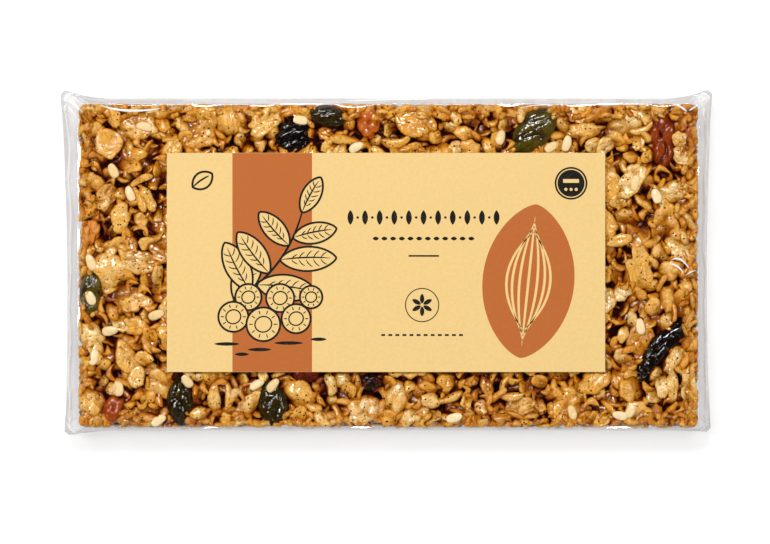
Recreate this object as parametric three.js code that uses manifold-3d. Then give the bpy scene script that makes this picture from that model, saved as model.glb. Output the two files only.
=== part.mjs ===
// A granola bar sealed in a clear film pack, lying on its back with a paper label on its face.
//
// Frame: millimetres, +Z up, X along the bar and Y across it. The origin is on the ground under
// the middle of the pack.
//
// The sealed pack is one closed solid out to its film: a slab with a fold all round at half
// height, pulled out into an ear at each corner. Where the film lies tight on the food, the oat
// flakes and rice crisps stand out of it in relief. The fruits, nuts and seeds that are as large
// as berries are solids of their own, each seated in a pocket with clearance all round.

import * as THREE from "three";
import { mergeVertices } from "three/addons/utils/BufferGeometryUtils.js";
import Module from "manifold-3d";

const wasm = await Module();
wasm.setup();

// ---- Driving dimensions ------------------------------------------------------------------------

// The pressed bar inside the film.
const BAR = { length: 133, width: 69.6, x: 0.4, y: -0.7, corner: 2.4 };
const FACE_Z = 14.4; // the bar's upper face
const RELIEF = 1.1; // how far flakes and toppings stand above that face
const EDGE_ROUND = 0.8; // the film's bend round the bar's upper and lower edges

// The film's outline at the fold, from ear to ear.
const FOLD_Z = 7.6;
const EARS = {
  topLeft: [-70, 37],
  topRight: [70, 37],
  bottomRight: [69.6, -36.3],
  bottomLeft: [-69.1, -37],
};
const TOP_EDGE_Y = 35.3;
const BOTTOM_EDGE_Y = -36.1;
const FLARE = 11; // length over which a long edge rises to its ear
const NEAR_EAR = { reach: 13.5, steps: 5 }; // the outline's closer points there
const EDGE_STEP = 9; // their spacing along the rest
const END_BOW = 0.9; // how far the ends are drawn in between their ears
const EAR_BLUNT = 0.8; // the flat across an ear's tip

// The paper label, which lies on the relief of the face.
const LABEL = { length: 93.6, width: 46.8, thickness: 0.25, x: -0.1, y: 0 };
const GAP = 0.3; // clearance between pieces that touch

// The pieces in relief. Pitches are their spacing, and sizes are shares of the full size, from the
// smallest to the largest.
const FLAKE = { length: 8.6, width: 6.8, thickness: 1.9, sides: 7 };
const FLAKE_TOP = { width: 0.72, height: 0.85 }; // the flat of a flake, as shares of its half size
const FLAKE_TILT = 11; // degrees, either way
const FACE_FLAKES = { pitch: 6.1, sizes: [0.72, 1.12], clearOfToppings: 1.8 };
const SIDE_FLAKES = { pitch: 5, sizes: [0.55, 0.72], relief: 0.35, tilt: 4, offFold: 3.1 };
const CRISP = { length: 3.6, width: 2.1, height: 1.9 };
const CRISPS = { pitch: 6.9, sizes: [0.8, 1.25], clearOfToppings: 0.8 };
const FACE_MARGIN = 3; // bare rim of the face
const SIDE_MARGIN = 8; // bare stretch at each end of a long side
const BARE_UNDER_LABEL = 3; // relief stops this far inside the label's edge

// The toppings' seats.
const TOPPING_TOP = FACE_Z + 0.9 * RELIEF;
const POCKET_SIDES = 14;

// ---- Random numbers, seeded so that every build is the same --------------------------------------

function randomFrom(seed) {
  let state = seed;
  return () => {
    state = (state + 0x6d2b79f5) | 0;
    let t = Math.imul(state ^ (state >>> 15), 1 | state);
    t = (t + Math.imul(t ^ (t >>> 7), 61 | t)) ^ t;
    return ((t ^ (t >>> 14)) >>> 0) / 2 ** 32;
  };
}

const between = (random, low, high) => low + (high - low) * random();
const mix = (a, b, t) => a + (b - a) * t;
const radians = THREE.MathUtils.degToRad;

// ---- Solids and meshes ---------------------------------------------------------------------------

function solidOf(geometry) {
  const bare = geometry.clone();
  bare.deleteAttribute("normal");
  bare.deleteAttribute("uv");
  const merged = mergeVertices(bare, 1e-4);
  return new wasm.Manifold(
    new wasm.Mesh({
      numProp: 3,
      vertProperties: merged.attributes.position.array,
      triVerts: new Uint32Array(merged.index.array),
    }),
  );
}

function geometryOf(solid) {
  const { vertProperties, triVerts } = solid.getMesh();
  const geometry = new THREE.BufferGeometry();
  geometry.setAttribute("position", new THREE.BufferAttribute(vertProperties, 3));
  geometry.setIndex(new THREE.BufferAttribute(triVerts, 1));
  geometry.computeVertexNormals();
  return geometry;
}

// A closed surface from rings of points, all with the same count and each anticlockwise seen from
// the last end, and a point at each end.
function ringedGeometry(first, rings, last) {
  const sides = rings[0].length;
  const index = [];
  const at = (ring, side) => 1 + ring * sides + (side % sides);
  const end = 1 + rings.length * sides;
  for (let side = 0; side < sides; side++) {
    index.push(0, at(0, side + 1), at(0, side));
    for (let ring = 0; ring + 1 < rings.length; ring++) {
      const [a, b] = [at(ring, side), at(ring, side + 1)];
      const [c, d] = [at(ring + 1, side), at(ring + 1, side + 1)];
      index.push(a, b, c, b, d, c);
    }
    index.push(end, at(rings.length - 1, side), at(rings.length - 1, side + 1));
  }
  const geometry = new THREE.BufferGeometry();
  const points = [first, ...rings.flat(), last].flat();
  geometry.setAttribute("position", new THREE.Float32BufferAttribute(points, 3));
  geometry.setIndex(index);
  geometry.computeVertexNormals();
  return geometry;
}

function placement(x, y, z, turn = 0, roll = 0, pitch = 0) {
  const rotation = new THREE.Euler(roll, pitch, turn, "ZYX");
  return new THREE.Matrix4().makeRotationFromEuler(rotation).setPosition(x, y, z);
}

// ---- The film's form -----------------------------------------------------------------------------

// Where the points lie along one side of the fold line: closer together near the ears, and the
// first and last just short of the tips, which blunts them.
function sideDistances(length) {
  const { reach, steps } = NEAR_EAR;
  const near = Array.from({ length: steps + 1 }, (_, i) => mix(EAR_BLUNT, reach, (i / steps) ** 1.3));
  const count = Math.round((length - 2 * reach) / EDGE_STEP);
  const middle = Array.from({ length: count - 1 }, (_, i) => mix(reach, length - reach, (i + 1) / count));
  return [...near, ...middle, ...near.map((d) => length - d).reverse()];
}

// A long side runs straight at edgeY and rises to its ears as the square of the nearness.
function longSide([x0, y0], [x1, y1], edgeY) {
  const length = Math.abs(x1 - x0);
  return sideDistances(length).map((d) => {
    const [near, earY] = d < length / 2 ? [d, y0] : [length - d, y1];
    const rise = near < FLARE ? (1 - (near - EAR_BLUNT) / (FLARE - EAR_BLUNT)) ** 2 : 0;
    return [mix(x0, x1, d / length), mix(edgeY, earY, rise)];
  });
}

// An end runs from ear to ear, drawn in towards the bar by a parabola.
function endSide([x0, y0], [x1, y1]) {
  const length = Math.abs(y1 - y0);
  return sideDistances(length).map((d) => {
    const t = (d - EAR_BLUNT) / (length - 2 * EAR_BLUNT);
    const bow = END_BOW * 4 * t * (1 - t);
    return [mix(x0, x1, t) - Math.sign(x0) * bow, mix(y0, y1, d / length)];
  });
}

// Anticlockwise seen from above.
function foldOutline() {
  return [
    ...longSide(EARS.bottomLeft, EARS.bottomRight, BOTTOM_EDGE_Y),
    ...endSide(EARS.bottomRight, EARS.topRight),
    ...longSide(EARS.topRight, EARS.topLeft, TOP_EDGE_Y),
    ...endSide(EARS.topLeft, EARS.bottomLeft),
  ];
}

// The point of the bar's rounded outline that is nearest to a point outside it.
function nearestOnBar([x, y], inset = 0) {
  const clampX = BAR.length / 2 - BAR.corner;
  const clampY = BAR.width / 2 - BAR.corner;
  const cx = BAR.x + THREE.MathUtils.clamp(x - BAR.x, -clampX, clampX);
  const cy = BAR.y + THREE.MathUtils.clamp(y - BAR.y, -clampY, clampY);
  const distance = Math.hypot(x - cx, y - cy);
  const reach = (BAR.corner - inset) / distance;
  return [cx + (x - cx) * reach, cy + (y - cy) * reach];
}

// How far the film stands off the bar at a height: 0 at the bar's edges, 1 at the fold line.
function filmReach(z) {
  const rim = z < FOLD_Z ? EDGE_ROUND : FACE_Z - EDGE_ROUND;
  const share = THREE.MathUtils.clamp((z - rim) / (FOLD_Z - rim), 0, 1);
  return 1 - (1 - share) ** 1.3;
}

// Rings of the film from its lower face to its upper one.
function filmSolid() {
  const outline = foldOutline();
  const ring = (z, inset = 0) =>
    outline.map((p) => {
      const [x, y] = nearestOnBar(p, inset);
      const out = filmReach(z);
      return [mix(x, p[0], out), mix(y, p[1], out), z];
    });
  const rings = [
    ring(0, EDGE_ROUND),
    ring(EDGE_ROUND),
    ring(mix(EDGE_ROUND, FOLD_Z, 0.5)),
    ring(FOLD_Z),
    ring(mix(FACE_Z - EDGE_ROUND, FOLD_Z, 0.5)),
    ring(FACE_Z - EDGE_ROUND),
    ring(FACE_Z, EDGE_ROUND),
  ];
  return solidOf(ringedGeometry([BAR.x, BAR.y, 0], rings, [BAR.x, BAR.y, FACE_Z]));
}

// ---- Pieces in relief ----------------------------------------------------------------------------

// An oat flake: a thin disc with an uneven oval rim, a smaller upper ring and a point below.
function flakeGeometry(random, sizes) {
  const { length, width, thickness, sides } = FLAKE;
  const size = between(random, ...sizes);
  const rim = Array.from({ length: sides }, (_, i) => {
    const angle = (i / sides) * 2 * Math.PI;
    const wave = size * between(random, 0.88, 1.08);
    return [(Math.cos(angle) * length * wave) / 2, (Math.sin(angle) * width * wave) / 2];
  });
  const ring = (share, z) => rim.map(([x, y]) => [x * share, y * share, z]);
  const half = thickness / 2;
  const rings = [ring(1, 0), ring(FLAKE_TOP.width, half * FLAKE_TOP.height)];
  return ringedGeometry([0, 0, -half], rings, [0, 0, half]);
}

// A rice crisp or broken oat: a many-sided grain.
function crispGeometry(random) {
  const size = between(random, ...CRISPS.sizes);
  const geometry = new THREE.IcosahedronGeometry(0.5, 0);
  geometry.scale(CRISP.length * size, CRISP.width * size, CRISP.height * size);
  return geometry;
}

// Moves a geometry so that its highest point is at z = top.
function raiseTo(geometry, top) {
  geometry.computeBoundingBox();
  return geometry.translate(0, 0, top - geometry.boundingBox.max.z);
}

// Points of a rectangular grid, each moved at random within its cell, as [x, y] from the centre.
function scatter(random, length, width, pitch) {
  const columns = Math.round(length / pitch);
  const rows = Math.max(1, Math.round(width / pitch));
  const points = [];
  for (let row = 0; row < rows; row++) {
    for (let column = 0; column < columns; column++) {
      const x = ((column + between(random, 0.2, 0.8)) / columns - 0.5) * length;
      const y = ((row + between(random, 0.2, 0.8)) / rows - 0.5) * width;
      points.push([x, y]);
    }
  }
  return points;
}

function underLabel([x, y], inside) {
  const clearX = LABEL.length / 2 - inside;
  const clearY = LABEL.width / 2 - inside;
  return Math.abs(x - LABEL.x) < clearX && Math.abs(y - LABEL.y) < clearY;
}

// True if a point lies over a topping, or within margin of its oval outline.
function overTopping([x, y], margin) {
  return TOPPINGS.some((t) => {
    const [cos, sin] = [Math.cos(radians(t.turn)), Math.sin(radians(t.turn))];
    const along = (x - t.x) * cos + (y - t.y) * sin;
    const across = (y - t.y) * cos - (x - t.x) * sin;
    return Math.hypot(along / (t.length / 2 + margin), across / (t.width / 2 + margin)) < 1;
  });
}

// A geometry lying level at the origin, turned any way and tilted up to a number of degrees.
function layAtRandom(random, geometry, mostTilt) {
  const tilt = () => radians(between(random, -mostTilt, mostTilt));
  return geometry.applyMatrix4(placement(0, 0, 0, between(random, 0, Math.PI), tilt(), tilt()));
}

// Pieces of one kind lying on the upper face, outside the label and clear of the toppings.
function faceRelief(random, { pitch, clearOfToppings }, make) {
  const pieces = [];
  const [length, width] = [BAR.length - 2 * FACE_MARGIN, BAR.width - 2 * FACE_MARGIN];
  for (const [dx, dy] of scatter(random, length, width, pitch)) {
    const place = [BAR.x + dx, BAR.y + dy];
    if (underLabel(place, BARE_UNDER_LABEL) || overTopping(place, clearOfToppings)) continue;
    const geometry = layAtRandom(random, make(), FLAKE_TILT).translate(...place, 0);
    pieces.push(raiseTo(geometry, FACE_Z + between(random, 0.45, 1) * RELIEF));
  }
  return pieces;
}

// Flakes pressed against the film on the long sides, by turns above and below the fold, each lying
// along the film's slope there.
function sideRelief(random) {
  const { pitch, sizes, relief, tilt, offFold } = SIDE_FLAKES;
  const pieces = [];
  const slope = Math.atan2(TOP_EDGE_Y - BAR.y - BAR.width / 2, FACE_Z - FOLD_Z);
  for (const side of [1, -1]) {
    const edgeY = side > 0 ? TOP_EDGE_Y : BOTTOM_EDGE_Y;
    const barY = BAR.y + (side * BAR.width) / 2;
    scatter(random, BAR.length - 2 * SIDE_MARGIN, 1, pitch).forEach(([dx, jitter], i) => {
      const half = i % 2 === 0 ? 1 : -1;
      const z = FOLD_Z + half * (offFold + jitter);
      const surface = mix(barY, edgeY, filmReach(z));
      const geometry = layAtRandom(random, flakeGeometry(random, sizes), tilt);
      raiseTo(geometry, relief * between(random, 0.6, 1));
      const roll = side * (half * slope - Math.PI / 2);
      pieces.push(geometry.applyMatrix4(placement(BAR.x + dx, surface, z, 0, roll, 0)));
    });
  }
  return pieces;
}

// ---- Toppings ------------------------------------------------------------------------------------

// Each kind's height and fineness, and how much its plain ellipsoid is widened at a share u along
// it and an angle v around it.
const SHAPES = {
  // Flat, and blunter at one end.
  pumpkin: { height: 2.6, rings: 7, sides: 12, widen: (u) => 1.08 - 0.3 * (u - 0.5) },
  // A round fruit with shallow creases.
  cherry: {
    height: 6,
    rings: 6,
    sides: 12,
    widen: (u, v) => 1 + 0.05 * Math.cos(3 * v) * Math.sin(5 * u),
  },
  // A fold of fruit, twisted and pinched.
  date: {
    height: 4,
    rings: 9,
    sides: 10,
    widen: (u, v) => 1 + 0.1 * Math.cos(2 * v + 4 * u) + 0.06 * Math.sin(9 * u),
  },
  // Half a kernel: a groove along its back and three lobes to a side.
  pecan: {
    height: 5,
    rings: 11,
    sides: 16,
    widen: (u, v) => {
      const groove = 0.3 * Math.exp(-((Math.sin(v) - 1) ** 2) / 0.02);
      return 1 - groove + 0.09 * Math.sin(6 * Math.PI * u) ** 2;
    },
  },
};

// The toppings that show on the face: where each lies, its size, and the way its length points, in
// degrees anticlockwise from X. A bow is how far its middle is moved sideways.
const TOPPINGS = [
  { name: "pumpkin_seed_1", kind: "pumpkin", x: 31.8, y: 28.4, length: 12.2, width: 7.6, turn: 46 },
  { name: "pumpkin_seed_2", kind: "pumpkin", x: -44.1, y: -29.6, length: 10.8, width: 5.7, turn: 92 },
  { name: "pumpkin_seed_3", kind: "pumpkin", x: -24.4, y: -30.1, length: 10, width: 6.4, turn: 97 },
  { name: "pumpkin_seed_4", kind: "pumpkin", x: -63.2, y: -6.4, length: 10.4, width: 4.8, turn: 86 },
  { name: "pumpkin_seed_5", kind: "pumpkin", x: -12.6, y: 31.4, length: 8.6, width: 4.6, turn: 169 },
  { name: "cherry_1", kind: "cherry", x: -20.2, y: 26.9, length: 8.2, width: 7.6, turn: 23 },
  { name: "cherry_2", kind: "cherry", x: -17.2, y: -23.2, length: 7.2, width: 5.6, turn: 0 },
  { name: "cherry_3", kind: "cherry", x: -3.3, y: -25.7, length: 5, width: 4.2, turn: 17 },
  { name: "date_1", kind: "date", x: 59.2, y: -18.8, length: 17, width: 4.8, turn: 50, bow: 1.3 },
  { name: "date_2", kind: "date", x: -3.7, y: 30, length: 7.4, width: 5, turn: 86 },
  { name: "date_3", kind: "date", x: -58.2, y: -31.2, length: 6.2, width: 4.6, turn: 63 },
  { name: "date_4", kind: "date", x: -63.2, y: 6.4, length: 6, width: 4, turn: 74 },
  { name: "pecan_1", kind: "pecan", x: 59, y: 26.3, length: 13.6, width: 6.6, turn: 93 },
  { name: "pecan_2", kind: "pecan", x: 64.6, y: 27.8, length: 10.6, width: 3.2, turn: 86 },
];

// A topping about its own middle, with its length along X.
function toppingGeometry({ kind, length, width, bow = 0 }) {
  const { height, rings, sides, widen } = SHAPES[kind];
  const [a, b, c] = [length / 2, width / 2, height / 2];
  const ringAt = (i) => {
    const u = (i + 1) / (rings + 1);
    const round = Math.sin(Math.PI * u);
    const x = -Math.cos(Math.PI * u) * a;
    return Array.from({ length: sides }, (_, k) => {
      const v = (k / sides) * 2 * Math.PI;
      const wide = round * widen(u, v);
      return [x, b * wide * Math.cos(v) + bow * round, c * wide * Math.sin(v)];
    });
  };
  return ringedGeometry([-a, 0, 0], Array.from({ length: rings }, (_, i) => ringAt(i)), [a, 0, 0]);
}

function toppingMiddle({ kind, x, y }) {
  return [x, y, TOPPING_TOP - SHAPES[kind].height / 2];
}

const TOPPING_FINISH = {
  pumpkin: { color: 0x3c4210, roughness: 0.25, metalness: 0 },
  cherry: { color: 0x2a0808, roughness: 0.2, metalness: 0 },
  date: { color: 0x7a3010, roughness: 0.25, metalness: 0 },
  pecan: { color: 0x8a3a14, roughness: 0.35, metalness: 0 },
};

function toppingMesh(topping) {
  const material = new THREE.MeshStandardMaterial(TOPPING_FINISH[topping.kind]);
  const mesh = new THREE.Mesh(toppingGeometry(topping), material);
  mesh.position.set(...toppingMiddle(topping));
  mesh.rotation.z = radians(topping.turn);
  mesh.name = topping.name;
  return mesh;
}

// The straight-sided pocket that a topping sits in: its outline in plan, widened by the gap.
function pocketSolid(topping) {
  const { height, widen } = SHAPES[topping.kind];
  const [x, y, z] = toppingMiddle(topping);
  const a = topping.length / 2 + 1.3 * GAP;
  const b = 1.1 * (topping.width / 2) + GAP;
  const outline = Array.from({ length: POCKET_SIDES }, (_, k) => {
    const v = (k / POCKET_SIDES) * 2 * Math.PI;
    const bow = (topping.bow ?? 0) * Math.abs(Math.sin(v));
    const wide = Math.sin(v) * b * widen((1 - Math.cos(v)) / 2, 0);
    return new THREE.Vector2(-Math.cos(v) * a, -(wide - bow));
  });
  const depth = height + GAP + 2 * RELIEF;
  const prism = new THREE.ExtrudeGeometry(new THREE.Shape(outline), { depth, bevelEnabled: false });
  prism.applyMatrix4(placement(x, y, z - height / 2 - GAP, radians(topping.turn)));
  return solidOf(prism);
}

// ---- The pieces ------------------------------------------------------------------------------------

function packMesh() {
  const random = randomFrom(6);
  let solid = filmSolid();
  const relief = [
    ...faceRelief(random, FACE_FLAKES, () => flakeGeometry(random, FACE_FLAKES.sizes)),
    ...faceRelief(random, CRISPS, () => crispGeometry(random)),
    ...sideRelief(random),
  ];
  for (const geometry of relief) {
    solid = solid.add(solidOf(geometry));
  }
  for (const topping of TOPPINGS) {
    solid = solid.subtract(pocketSolid(topping));
  }
  // A pocket can cut a flake in two: what is loose falls away.
  const [whole] = solid.decompose().sort((a, b) => b.volume() - a.volume());
  const material = new THREE.MeshStandardMaterial({ color: 0xc9832f, roughness: 0.3, metalness: 0 });
  const mesh = new THREE.Mesh(geometryOf(whole), material);
  mesh.name = "clear_pack";
  return mesh;
}

function labelMesh() {
  const geometry = new THREE.BoxGeometry(LABEL.length, LABEL.width, LABEL.thickness);
  const material = new THREE.MeshStandardMaterial({ color: 0xf6d48c, roughness: 0.8, metalness: 0 });
  const mesh = new THREE.Mesh(geometry, material);
  mesh.position.set(LABEL.x, LABEL.y, FACE_Z + RELIEF + GAP + LABEL.thickness / 2);
  mesh.name = "label";
  return mesh;
}

const granolaBar = new THREE.Group();
granolaBar.add(packMesh(), labelMesh(), ...TOPPINGS.map(toppingMesh));

export default granolaBar;
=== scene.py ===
"""A granola bar in a clear film pack: its looks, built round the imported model.

Run as a script inside Blender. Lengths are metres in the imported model's own frame: the pack lies
on z = 0 with X along the bar, and its label looks up.
"""

import bpy
import numpy as np
from bpy.props import (
    FloatProperty,
    FloatVectorProperty,
    IntProperty,
    PointerProperty,
    StringProperty,
)
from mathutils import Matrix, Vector


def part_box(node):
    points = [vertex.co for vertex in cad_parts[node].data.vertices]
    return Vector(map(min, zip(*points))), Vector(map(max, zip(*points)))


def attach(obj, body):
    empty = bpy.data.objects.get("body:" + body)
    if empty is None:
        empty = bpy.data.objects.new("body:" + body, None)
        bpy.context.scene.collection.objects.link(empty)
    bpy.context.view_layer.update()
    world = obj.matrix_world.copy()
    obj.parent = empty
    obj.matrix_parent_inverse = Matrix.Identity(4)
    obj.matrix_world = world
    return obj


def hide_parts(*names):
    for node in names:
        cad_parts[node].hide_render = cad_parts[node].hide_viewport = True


bl_info = {
    "name": "Granola bar in a clear pack",
    "version": (1, 0, 0),
    "blender": (4, 5, 0),
    "location": "View3D > Sidebar > Granola bar",
    "description": "Builds a pressed granola bar with its toppings, film and paper label",
    "category": "Add Mesh",
}

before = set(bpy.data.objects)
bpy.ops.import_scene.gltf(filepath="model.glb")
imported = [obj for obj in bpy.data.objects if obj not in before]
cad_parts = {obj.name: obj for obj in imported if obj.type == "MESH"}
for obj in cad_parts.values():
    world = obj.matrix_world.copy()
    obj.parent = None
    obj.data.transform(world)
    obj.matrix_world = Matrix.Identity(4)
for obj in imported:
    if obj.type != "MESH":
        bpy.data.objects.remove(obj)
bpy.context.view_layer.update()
PACK_LOW, PACK_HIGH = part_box("clear_pack")
LABEL_LOW, LABEL_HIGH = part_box("label")
BODY = "root"
MM = 0.001

# The film's fold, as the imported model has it: its height, its four ears and long edges seen from
# above, how blunt an ear is, how far along an edge it flares, how far an end bows in between its
# ears, and the step between its points. Lengths without MM are millimetres here and in all the
# tables below.
FOLD_Z = 7.6 * MM
EARS = {
    "top_left": (-70.0, 37.0),
    "top_right": (70.0, 37.0),
    "bottom_right": (69.6, -36.3),
    "bottom_left": (-69.1, -37.0),
}
LONG_EDGES_Y = (35.3, -36.1)
EAR_BLUNT = 0.8
FLARE = 11.0
END_BOW = 0.9
FOLD_STEP = 0.6

# The film's height over the table, the radius of its lower edges, how near its last rings come to
# the bar's middle line, how far it keeps from the label and the table, where its ends begin, and
# the seed of its creases.
FILM_FLOOR = 0.05 * MM
EDGE_ROUND = 0.8 * MM
FILM_CENTRE = 0.4 * MM
FILM_CLEARANCE = 0.02 * MM
FILM_ENDS_X = 66 * MM
FILM_SEED = 11

# How far the film's rings are drawn in from the bar's edge, in millimetres: under it and on top.
UNDER_INSETS = (20, 8, 3)
TOP_INSETS = (*np.arange(1.2, 8, 0.45), *np.arange(8.2, 30, 1.6))

# The spacings of the film's waves: along its upper edge, the sway and the crinkle of its sides,
# and the slack of its face. Then the slack's depth, and how near the middle it is drawn tight.
EDGE_WAVES = 13 * MM
SWAY_WAVES = 16 * MM
CRINKLE_WAVES = 6 * MM
SLACK_WAVES = 9 * MM
SLACK_DEPTH = 0.02 * MM
TIGHT_LINE = 4 * MM

# Sharp creases in the film, each with a painted white highlight along it: width, then start,
# middle and end seen from above.
FILM_CREASE_HIGHLIGHTS = (
    (0.4, (-69.7, 35.6), (-67.2, 34.2), (-64.8, 32.0)),
    (0.3, (-68.4, 36.4), (-67.0, 34.4), (-65.3, 32.3)),
    (0.22, (-69.9, 33.4), (-68.4, 32.4), (-67.4, 30.0)),
    (0.5, (-61.2, 33.7), (-56.4, 31.6), (-48.1, 32.9)),
    (0.4, (-68.8, -36.5), (-67.4, -35.8), (-65.9, -34.9)),
    (0.25, (-69.0, -35.0), (-68.0, -34.2), (-66.9, -33.8)),
    (0.45, (61.6, 33.8), (62.9, 33.4), (64.2, 32.2)),
    (0.4, (64.6, 32.4), (66.0, 33.2), (67.3, 34.6)),
    (0.3, (69.2, 36.5), (68.1, 35.4), (67.3, 34.0)),
    (0.25, (69.5, 35.0), (68.3, 34.3), (66.9, 33.4)),
    (0.25, (67.7, 33.8), (67.8, 31.6), (68.3, 29.4)),
    (0.4, (60.8, 0.5), (62.8, 1.7), (64.7, -1.4)),
    (0.4, (60.6, -0.3), (62.2, -0.4), (63.5, -2.3)),
    (0.25, (64.0, -2.7), (65.0, -1.9), (66.1, -1.7)),
    (0.35, (67.0, -33.2), (68.2, -33.9), (69.2, -35.6)),
    (0.25, (66.2, -34.6), (67.6, -35.2), (68.8, -36.0)),
    (0.2, (-69.5, 34.8), (-68.0, 33.6), (-66.4, 31.0)),
    (0.2, (-67.6, 36.0), (-66.2, 34.6), (-64.0, 33.4)),
    (0.2, (-69.2, -36.0), (-68.4, -34.0), (-67.9, -31.0)),
    (0.2, (69.4, 36.0), (67.6, 35.6), (65.8, 34.4)),
    (0.2, (69.6, 33.6), (68.9, 32.0), (68.7, 29.0)),
    (0.2, (69.4, -35.2), (68.6, -33.4), (68.4, -30.8)),
    (0.45, (-27.0, 34.2), (-18.0, 33.6), (-8.9, 34.1)),
    (0.3, (-8.9, 34.6), (0.0, 34.9), (9.4, 35.0)),
    (0.35, (45.9, 34.0), (51.0, 33.7), (56.7, 34.0)),
    (0.25, (28.7, 33.0), (31.7, 33.9), (36.5, 33.7)),
)

# The scattered pieces' sizes, as (smallest, largest) length, width and height.
JUMBO_FLAKE = (6.4, 9.2), (5.0, 7.2), (1.1, 1.7)
BROKEN_FLAKE = (3.4, 6.0), (2.6, 4.4), (1.1, 1.8)
SPLINTER = (3.6, 6.8), (1.6, 2.6), (1.2, 1.9)
CRISP = (2.2, 4.6), (1.4, 2.1), (1.3, 2.0)

# Whole flakes with places of their own: x, y, length, width, turn in degrees, and tone from 0,
# dark, to 1, pale.
WHOLE_FLAKES = (
    (-39.7, 29.0, 9.8, 8.4, 80, 0.45),
    (-53.2, 29.6, 8.8, 7.2, 160, 0.55),
    (-25.9, 30.2, 9.2, 5.2, 35, 0.7),
    (42.3, 28.3, 9.0, 4.0, 8, 0.7),
    (41.6, 31.6, 8.4, 4.0, 170, 0.8),
    (51.0, 29.7, 8.6, 7.0, 30, 0.95),
    (59.4, 8.4, 10.2, 5.6, 82, 0.35),
    (54.1, -1.2, 9.6, 5.8, 100, 0.6),
    (60.5, -1.6, 6.0, 4.6, 10, 0.75),
    (62.6, 26.4, 3.8, 3.2, 60, 0.8),
    (63.2, 23.0, 5.0, 4.0, 120, 0.9),
    (60.1, -7.7, 7.2, 4.0, 84, 0.5),
    (55.1, -9.7, 5.0, 2.8, 75, 0.6),
    (61.9, -20.2, 8.6, 3.4, 55, 0.85),
    (61.1, -26.2, 7.6, 2.8, 95, 0.8),
    (64.6, -26.4, 8.6, 3.6, 90, 0.9),
    (-59.5, -1.8, 9.2, 7.6, 22, 0.8),
    (-54.9, -7.8, 9.4, 6.2, 160, 0.5),
    (-53.4, -13.7, 6.6, 4.2, 170, 0.4),
    (-60.0, 14.0, 6.6, 5.0, 40, 0.75),
    (-30.0, -31.2, 9.4, 4.2, 52, 0.9),
    (28.5, -31.2, 8.2, 5.2, 20, 0.6),
    (-46.0, 23.4, 6.6, 5.6, 70, 0.6),
    (-48.5, -26.0, 8.0, 5.4, 145, 0.75),
)

# Splinters with places of their own, in the same order.
LONG_SPLINTERS = (
    (-52.4, 17.6, 5.4, 1.7, 26, 0.45),
    (-52.8, 13.4, 6.0, 2.0, 115, 0.6),
    (-51.0, 13.6, 6.2, 2.4, 118, 0.7),
    (-12.0, -26.1, 5.0, 2.5, 105, 0.95),
    (48.0, -31.7, 6.0, 1.5, 130, 0.0),
    (-36.6, -29.5, 7.6, 2.8, 95, 0.8),
    (-34.0, -29.0, 7.4, 1.8, 88, 0.7),
    (13.4, -28.9, 6.4, 2.0, 20, 0.7),
    (-9.0, 26.2, 6.8, 2.2, 172, 0.5),
    (1.8, 26.0, 7.0, 2.4, 5, 0.5),
)

# Sesame seeds: length, width and height of all, and each one's x, y and turn in degrees.
SESAME_SIZE = (3.4, 2.0, 1.1)
SESAME_PLACES = (
    (-51.8, 29.0, 170), (-18.4, 30.4, 172), (-58.4, 19.6, 115), (-54.8, 14.7, 112),
    (-63.2, 0.0, 110), (-63.2, -7.6, 112), (-59.1, -14.6, 10), (-62.6, -20.3, 75),
    (-57.3, -26.9, 95), (-48.7, -33.8, 35), (-49.2, -11.2, 20), (-27.7, -26.1, 30),
    (-24.3, -26.3, 50), (35.2, 24.7, 35), (38.5, 25.4, 75), (54.3, -13.7, 100),
    (39.7, -32.0, 105), (52.1, -31.8, 60), (49.9, -32.7, 170), (-6.5, 24.6, 30),
    (57.7, 14.2, 110), (14.5, -33.2, 15), (-42.6, -25.4, 130), (24.4, 26.7, 75),
    (53.2, 17.0, 80),
)

# Toppings: length, width and turn in degrees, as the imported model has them, and tone from 0, dark,
# to 1, pale. The long strip of date is bowed. A topping's own seed follows from the first one's.
TOPPINGS = {
    "pumpkin_seed_1": (12.2, 7.6, 46, 0.7),
    "pumpkin_seed_2": (10.8, 5.7, 92, 0.2),
    "pumpkin_seed_3": (10.0, 6.4, 97, 0.3),
    "pumpkin_seed_4": (10.4, 4.8, 86, 0.8),
    "pumpkin_seed_5": (8.6, 4.6, 169, 0.3),
    "cherry_1": (8.2, 7.6, 23, 0.1),
    "cherry_2": (7.2, 5.6, 0, 1.0),
    "cherry_3": (5.0, 4.2, 17, 0.6),
    "date_1": (17.0, 4.8, 50, 0.2),
    "date_2": (7.4, 5.0, 86, 0.5),
    "date_3": (6.2, 4.6, 63, 0.1),
    "date_4": (6.0, 4.0, 74, 0.9),
    "pecan_1": (13.6, 6.6, 93, 0.3),
    "pecan_2": (10.6, 3.2, 86, 0.9),
}
DATE_STRIP_BOW = 1.3 * MM
FIRST_TOPPING_SEED = 70

# White light through 0 to 6 units of boiled syrup. Each unit lets through about exp(-0.6) of the
# red, exp(-1) of the green and exp(-2.4) of the blue.
SYRUP = (
    (0.0, "#ffffff"),
    (1 / 6, "#c3a455"),
    (2 / 6, "#956716"),
    (3 / 6, "#713f02"),
    (4 / 6, "#552500"),
    (1.0, "#2a0700"),
)

# The survey that finds the nooks between the pieces, for the painted shade there: its cells,
# and how deep it looks.
NOOK_CELL = 0.5 * MM
NOOK_FLOOR = 4.0 * MM

# How much further under its neighbours an upright flank counts than a level surface, which
# paints shade on the flanks.
SHADE_ON_FLANKS = 0.85 * MM

# The caramel core: how far it lies inside the bar's surface, how high its lumps are, the spacings
# of the large and the small ones, and its rings and columns.
CORE_INSET = 2.8 * MM
CORE_LUMPS = 0.45 * MM
LUMP_SPACINGS = (4 * MM, 2.2 * MM)
CORE_GRID = (80, 240)

# Grains further than this inside the label's edge are left out, and neighbours turn alike over
# this distance.
LABEL_COVER = 4 * MM
GRAIN_DRIFT = 22 * MM

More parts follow.
